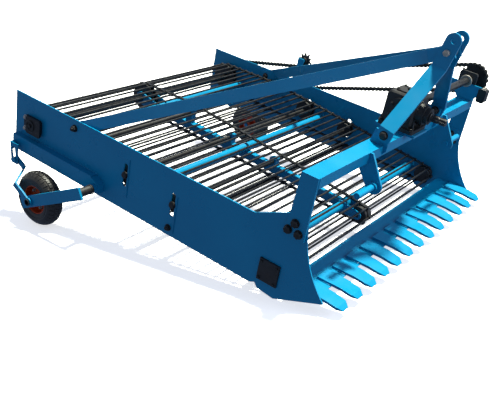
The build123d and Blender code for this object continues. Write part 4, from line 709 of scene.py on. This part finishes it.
# ---------------------------------------------------------------- drive bracket, which ends under the shaft
DRIVE_AXIS = (1.736, 0.372)
BRACKET_Y = (0.780, 0.790)
BRACKET_TOP = 0.362
BRACKET_FRONT = [(1.711, 0.272), (1.791, 0.272), (1.812, 0.300), (1.846, 0.322), (1.852, 0.336),
                 (1.848, 0.352), (1.836, BRACKET_TOP)]
BRACKET_REAR = [(1.650, BRACKET_TOP), (1.640, 0.354), (1.638, 0.342), (1.646, 0.330), (1.690, 0.300)]
SADDLE = 0.026                      # radius of the hollow that the shaft lies over
SADDLE_ANGLES = range(-24, -157, -12)


def saddle_bracket():
    hollow = [(DRIVE_AXIS[0] + SADDLE * cos(radians(a)), DRIVE_AXIS[1] + SADDLE * sin(radians(a)))
              for a in SADDLE_ANGLES]
    outline = BRACKET_FRONT + [(DRIVE_AXIS[0] + SADDLE, BRACKET_TOP)]
    outline += hollow + [(DRIVE_AXIS[0] - SADDLE, BRACKET_TOP)] + BRACKET_REAR
    bracket = bmesh.new()
    prism(bracket, outline, *BRACKET_Y)
    return piece(bracket, "saddle_bracket", BLUE)


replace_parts(saddle_bracket(), "drive_bracket")

# ---------------------------------------------------------------- input shaft with its splines
SHAFT_ROOT = GEARBOX_U + 0.122
SHAFT_LENGTH = 0.082
COLLAR, COLLAR_LIP = 0.024, 0.022   # radii where the shaft leaves its seal
SPLINES = 6
SPLINE_STEPS, SPLINE_CREST = 12, 5  # edges in a spline and its gap, and how many of them are the spline's top
SPLINE_OUTER, SPLINE_ROOT = 0.0174, 0.0146
SHAFT_TIP = 0.0138
GROOVE = (0.044, 0.052)             # the coupling's locking groove, from the root


def input_shaft():
    count = SPLINES * SPLINE_STEPS

    def even(radius):
        return [radius] * count

    teeth = [SPLINE_OUTER if i % SPLINE_STEPS < SPLINE_CREST else SPLINE_ROOT for i in range(count)]
    bottom = even(SPLINE_ROOT - 0.0004)
    sections = [(0.0, even(COLLAR)), (0.008, even(COLLAR)), (0.010, even(COLLAR_LIP)),
                (0.010, even(SPLINE_OUTER)), (0.014, even(SPLINE_OUTER)), (0.016, teeth), (GROOVE[0], teeth),
                (GROOVE[0] + 0.002, bottom), (GROOVE[1] - 0.002, bottom), (GROOVE[1], teeth),
                (SHAFT_LENGTH - 0.003, teeth), (SHAFT_LENGTH, even(SHAFT_TIP))]
    splined = bmesh.new()
    stack(splined, place(SHAFT_ROOT, DRIVE_AXIS[1]), FORWARD, sections, LEFT)
    return piece(splined, "input_shaft", TURNED, sharp=24.0)


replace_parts(input_shaft(), "pto_shaft")

# ---------------------------------------------------------------- weld beads
BEAM_REAR, BEAM_FRONT = 1.711, 1.791
BEAM_UNDER = 0.222
RAIL_ENDS, RAIL_EDGES = (0.032, 0.618), (-0.220, -0.295)        # in u, and in w
TINES, TINE_WIDTH, TINE_REAR = 13, 0.090, 1.820
TINE_GAP = 0.002                    # from an end tine to its side plate
TINE_PITCH = (2 * INNER_FACE - 2 * TINE_GAP - TINE_WIDTH) / (TINES - 1)
SHARE_TOP, SHARE_REAR, SHARE_EDGE = -0.240, 1.740, 1.893
TINE_SEAM = SHARE_EDGE - 0.006      # where a tine's side welds end
TINE_WELD_W = SHARE_TOP + 0.001
TUBES = ((0.26190, -0.166), (0.910, -0.163), (1.560, -0.222))
TUBE_RADIUS = 0.022
TUBE_STEPS = 12                     # in half a turn of a weld round a tube
LINK_PLATE_FACES = (0.4125, 0.4005)
LINK_WELD_BACK, LINK_WELD_SHORT = 0.050, 0.002          # along the beam's underside, short of its top
LUG_FACES = (0.285, 0.273)
LUG_WELD_START, LUG_WELD_DROP = 0.010, 0.042            # from the beam's rear, down its front
BEAD_ROOM = 0.005                   # that a bead needs beside a side plate
FOOT_EDGES = (-0.075, 0.075)        # of the gearbox's foot, across
THIN_BEAD, TUBE_BEAD = 0.0026, 0.0028


def share_welds(bm):
    """Along each tine's sides, where a side plate leaves room, and across its rear end."""
    for i in range(TINES):
        y = (i - (TINES - 1) / 2) * TINE_PITCH
        for edge in (-1, 1):
            side_y = y + edge * TINE_WIDTH / 2
            if abs(side_y) < INNER_FACE - BEAD_ROOM:
                weld(bm, (TINE_REAR, TINE_WELD_W, side_y), (TINE_SEAM, TINE_WELD_W, side_y))
        weld(bm, (TINE_REAR, TINE_WELD_W, y - TINE_WIDTH / 2), (TINE_REAR, TINE_WELD_W, y + TINE_WIDTH / 2))


def side_welds(bm, sign):
    """Wheel rail, hitch beam, share, lower link plate, mast lug and cross tubes, on one side."""
    y = sign * HALF_WIDTH
    for w in RAIL_EDGES:
        weld(bm, (RAIL_ENDS[0], w, y), (RAIL_ENDS[1], w, y))
    weld(bm, (BEAM_REAR, BEAM_TOP, y), (BEAM_REAR, BEAM_UNDER, y), (BEAM_FRONT, BEAM_UNDER, y),
         (BEAM_FRONT, BEAM_TOP, y))
    weld(bm, (SHARE_REAR, SHARE_TOP, sign * INNER_FACE), (TINE_REAR, SHARE_TOP, sign * INNER_FACE))
    for face in LINK_PLATE_FACES:
        weld(bm, (BEAM_FRONT - LINK_WELD_BACK, BEAM_UNDER, sign * face),
             (BEAM_FRONT, BEAM_UNDER, sign * face),
             (BEAM_FRONT, BEAM_TOP - LINK_WELD_SHORT, sign * face), size=THIN_BEAD)
    for face in LUG_FACES:
        weld(bm, (BEAM_REAR + LUG_WELD_START, BEAM_TOP, sign * face), (BEAM_FRONT, BEAM_TOP, sign * face),
             (BEAM_FRONT, BEAM_TOP - LUG_WELD_DROP, sign * face), size=THIN_BEAD)
    for u, w in TUBES:
        ring = []
        for k in range(2 * TUBE_STEPS + 1):
            angle = pi * k / TUBE_STEPS
            ring.append((u + TUBE_RADIUS * cos(angle), w + TUBE_RADIUS * sin(angle), sign * INNER_FACE))
        weld(bm, *ring, size=TUBE_BEAD)


welds = bmesh.new()
share_welds(welds)
for _, sign in SIDES:
    side_welds(welds, sign)
for y in BRACKET_Y + FOOT_EDGES:
    weld(welds, (BEAM_REAR, BEAM_TOP, y), (BEAM_FRONT, BEAM_TOP, y))
piece(welds, "weld_beads", BLUE, sharp=60.0)

# ---------------------------------------------------------------- tyres with tread and beads
TYRE_RADIUS = 0.144
SHOULDER = (0.110, 0.047)           # radius, distance from the tyre's middle
BEAD_PROFILE = ((0.0752, 0.0), (0.0752, 0.0365), (0.0765, 0.0388), (0.082, 0.0402), (0.088, 0.0412),
                (0.092, 0.0432), (0.094, 0.0424), (0.097, 0.0452), (0.101, 0.0446), (0.106, 0.0470))
ROUND_STEPS, TREAD_STEPS = 448, 46  # edges round the tyre and across its tread
TREAD_DEPTH = 0.0044
TREAD_BLOCKS = 32                   # in each row round the tyre
TREAD_EDGE = 0.0415                 # where the tread ends, from the middle
ROW_LINE = 0.0215                   # the groove between a middle row and an outer one
ROUND_GROOVES = ((0.0, 0.0030), (ROW_LINE, 0.0024), (-ROW_LINE, 0.0024))        # place, half width
WAVE = 0.0008                       # how far those grooves swing to each side
CROSS_SLANT = 9                     # blocks that a cross groove moves on in a metre across
CROSS_WIDTH = 0.17                  # of a block
SIPE, SIPE_HALF, SIPE_DEPTH = 0.585, 0.035, 0.45                # the fine cut in each block, in shares


def groove(y, turn):
    """How deep the tread is cut at a distance y from the middle and a share of a turn."""
    if abs(y) >= TREAD_EDGE:
        return 0.0
    wave = abs((turn * TREAD_BLOCKS) % 1 - 0.5) * 4 - 1
    for line, half_width in ROUND_GROOVES:
        if abs(y - line - WAVE * wave) < half_width:
            return TREAD_DEPTH
    outer_row = abs(y) > ROW_LINE
    cross = (turn * TREAD_BLOCKS + 0.5 * outer_row + y * CROSS_SLANT) % 1
    if cross < CROSS_WIDTH:
        return TREAD_DEPTH
    return SIPE_DEPTH * TREAD_DEPTH if abs(cross - SIPE) < SIPE_HALF else 0.0


def tyre_section(turn):
    """The closed section of (radius, y) at a share of a turn: a bead, the tread's arc, the other bead."""
    (r1, y1), r2 = SHOULDER, TYRE_RADIUS
    centre = (r2 * r2 - r1 * r1 - y1 * y1) / (2 * (r2 - r1))
    radius = r2 - centre
    reach = atan2(y1, r1 - centre)
    line = list(BEAD_PROFILE)
    for i in range(TREAD_STEPS + 1):
        angle = reach * (1 - 2 * i / TREAD_STEPS)
        y = radius * sin(angle)
        line.append((centre + radius * cos(angle) - groove(y, turn), y))
    return line + [(r, -y) for r, y in BEAD_PROFILE[:0:-1]]


def tread_tyre(side, axle):
    tyre = bmesh.new()
    rings = []
    for k in range(ROUND_STEPS):
        turn = k / ROUND_STEPS
        ray = cos(2 * pi * turn) * Vector((1, 0, 0)) + sin(2 * pi * turn) * Vector((0, 0, 1))
        rings.append([tyre.verts.new(axle + r * ray + y * LEFT) for r, y in tyre_section(turn)])
    for k in range(ROUND_STEPS):
        wall(tyre, rings[k], rings[(k + 1) % ROUND_STEPS])
    return piece(tyre, f"tread_tyre_{side}", TYRE, f"wheel_{side}", sharp=28.0)


# ---------------------------------------------------------------- rims, pivots and axle ends
RIM_BOLTS, RIM_CIRCLE = 5, 0.0495
RIM_OUTER, RIM_INNER = 0.0045, 0.0025           # where nuts and bolts' heads start, from the rim's middle
VALVE = ((0.0045, 0), (0.004, 0.010), (0.003, 0.014), (0.003, 0.020), (0.0036, 0.021), (0.0036, 0.028),
         (0.003, 0.030))
VALVE_RADIUS, VALVE_Y = 0.068, 0.004
ARM_PIVOT = (0.645, -0.272)
PIVOT_PLAY = 0.002                  # between the rail's boss and the sleeve
ARM_GAP = 0.008                     # from the tyre to the arm
SLEEVE, SLEEVE_COLLAR, SLEEVE_END = 0.0218, 0.0240, 0.0204     # radii
AXLE_NUT, AXLE_NUT_HEIGHT = 0.022, 0.0045


def rim_nuts(side, out, axle):
    nuts = bmesh.new()
    for i in range(RIM_BOLTS):
        angle = 2 * pi * i / RIM_BOLTS
        spot = axle + RIM_CIRCLE * (cos(angle) * FORWARD + sin(angle) * UP)
        nut(nuts, spot + RIM_OUTER * out, out, M10, tail=0.3)
        bolt(nuts, spot - RIM_INNER * out, -out, M10)
    piece(nuts, f"rim_nuts_{side}", ZINC, f"wheel_{side}")


def valve(side, out, axle):
    stem = bmesh.new()
    turned(stem, axle + VALVE_RADIUS * UP + VALVE_Y * out, (0.94 * out - 0.2 * UP).normalized(), VALVE, 14)
    piece(stem, f"valve_{side}", TYRE, f"wheel_{side}")


def pivot_shade_sleeve(side, sign):
    """The collared sleeve on the arm's pivot, from the rail's boss to the arm, black as painted shade over
    the blue pivot tube.
    """
    root = outer_y("wheel_pivot_left") + PIVOT_PLAY
    length = outer_y("tyre_left") + ARM_GAP - root
    near_end = ((SLEEVE_END, 0.0), (SLEEVE_COLLAR, 0.0006), (SLEEVE_COLLAR, 0.0120), (SLEEVE, 0.0130))
    far_end = tuple((radius, length - height) for radius, height in reversed(near_end))
    sleeve = bmesh.new()
    turned(sleeve, place(*ARM_PIVOT, sign * root), sign * LEFT, near_end + far_end, 40)
    # black here is painted shade: it darkens the pivot where shadow falls
    piece(sleeve, f"pivot_shade_sleeve_{side}", BLACK, f"arm_{side}")


def axle_nut(side, sign, axle):
    """The nut on the axle's end, flush with the arm's outermost face."""
    end = across_at(axle, sign * outer_y(f"wheel_arm_{side}", sign))
    nuts = bmesh.new()
    hexagon(nuts, end - AXLE_NUT_HEIGHT * sign * LEFT, sign * LEFT, AXLE_NUT, AXLE_NUT_HEIGHT)
    piece(nuts, f"axle_nut_{side}", DARK_BOLT, f"arm_{side}")


for side, sign in SIDES:
    axle = middle(f"rim_{side}")
    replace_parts(tread_tyre(side, axle), f"tyre_{side}")
    rim_nuts(side, sign * LEFT, axle)
    valve(side, sign * LEFT, axle)
    pivot_shade_sleeve(side, sign)
    axle_nut(side, sign, axle)


# ---------------------------------------------------------------- stage, light, camera
def new_object(name, data):
    obj = bpy.data.objects.new(name, data)
    bpy.context.scene.collection.objects.link(obj)
    return obj


def pale_floor(half_size=30.0):
    """A white floor that catches shadows and lights nothing."""
    mesh = bpy.data.meshes.new("floor")
    mesh.from_pydata([(x * half_size, y * half_size, 0) for x, y in ((-1, -1), (1, -1), (1, 1), (-1, 1))], [],
                     [(0, 1, 2, 3)])
    surface, _, shader = material("pale_floor")
    shader.inputs["Base Color"].default_value = (0.88, 0.88, 0.88, 1.0)
    shader.inputs["Roughness"].default_value = 0.9
    shader.inputs["Emission Color"].default_value = (1.0, 1.0, 1.0, 1.0)
    shader.inputs["Emission Strength"].default_value = 0.66
    mesh.materials.append(surface)
    floor = new_object("floor", mesh)
    floor.visible_diffuse = False
    floor.visible_glossy = False
    return floor


def studio():
    """A plain studio: bright round the horizon, softer overhead and dim from below, white to the camera."""
    world = bpy.data.worlds.new("studio")
    bpy.context.scene.world = world
    world.use_nodes = True
    tree = world.node_tree
    rise = add(tree, "ShaderNodeSeparateXYZ")
    tree.links.new(add(tree, "ShaderNodeTexCoord").outputs["Generated"], rise.inputs[0])
    above = remap(tree, rise.outputs["Z"], 0.10, 0.30, 1.0, 0.0)
    below = remap(tree, rise.outputs["Z"], -0.08, 0.0, 0.0, 1.0)
    lighting = mix(tree, math(tree, "MINIMUM", above, below), (0.16, 0.21, 0.33), (0.62, 0.70, 0.82))
    seen = add(tree, "ShaderNodeLightPath").outputs["Is Camera Ray"]
    tree.links.new(mix(tree, seen, lighting, (1.0, 1.0, 1.0)), tree.nodes["Background"].inputs["Color"])


def sunlight():
    """High daylight from a little ahead and to the left."""
    sun = bpy.data.lights.new("key", "SUN")
    sun.energy = 9.4
    sun.angle = radians(5.0)
    sun.color = (1.0, 1.0, 0.84)
    new_object("key", sun).rotation_euler = Vector((0.13, 0.28, 1.0)).to_track_quat("Z", "Y").to_euler()


def front_panel():
    """A soft light ahead of the machine, aimed at its front half."""
    panel = bpy.data.lights.new("front", "AREA")
    panel.shape = "SQUARE"
    panel.size = 2.4
    panel.energy = 120.0
    panel.color = (0.80, 0.90, 1.0)
    fill = new_object("front", panel)
    fill.location = (5.2, 0.9, 1.9)
    aim = Vector((0.6, 0.0, 0.4))
    fill.rotation_euler = (Vector(fill.location) - aim).to_track_quat("Z", "Y").to_euler()


CAMERA_PLACE = (2.11493, -3.09794, 1.53186)
CAMERA_TURN = (68.2283, -1.4058, 35.8624)       # degrees about x, y and z


def photo_camera():
    """The photograph's view, from ahead, above and to the right."""
    data = bpy.data.cameras.new("camera")
    data.lens = 52.04
    data.sensor_width = 36.0
    camera = new_object("camera", data)
    turn = Euler([radians(angle) for angle in CAMERA_TURN])
    camera.matrix_world = Matrix.LocRotScale(Vector(CAMERA_PLACE), turn, None)
    return camera


pale_floor()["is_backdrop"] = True
studio()
sunlight()
front_panel()
bpy.context.scene.camera = photo_camera()
bpy.context.scene.view_settings.view_transform = "Standard"

new_box = [list(corner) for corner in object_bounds()]
({"cad": [[float(x) for x in c] for c in cad_box],
           "visual": [[float(x) for x in c] for c in new_box]})
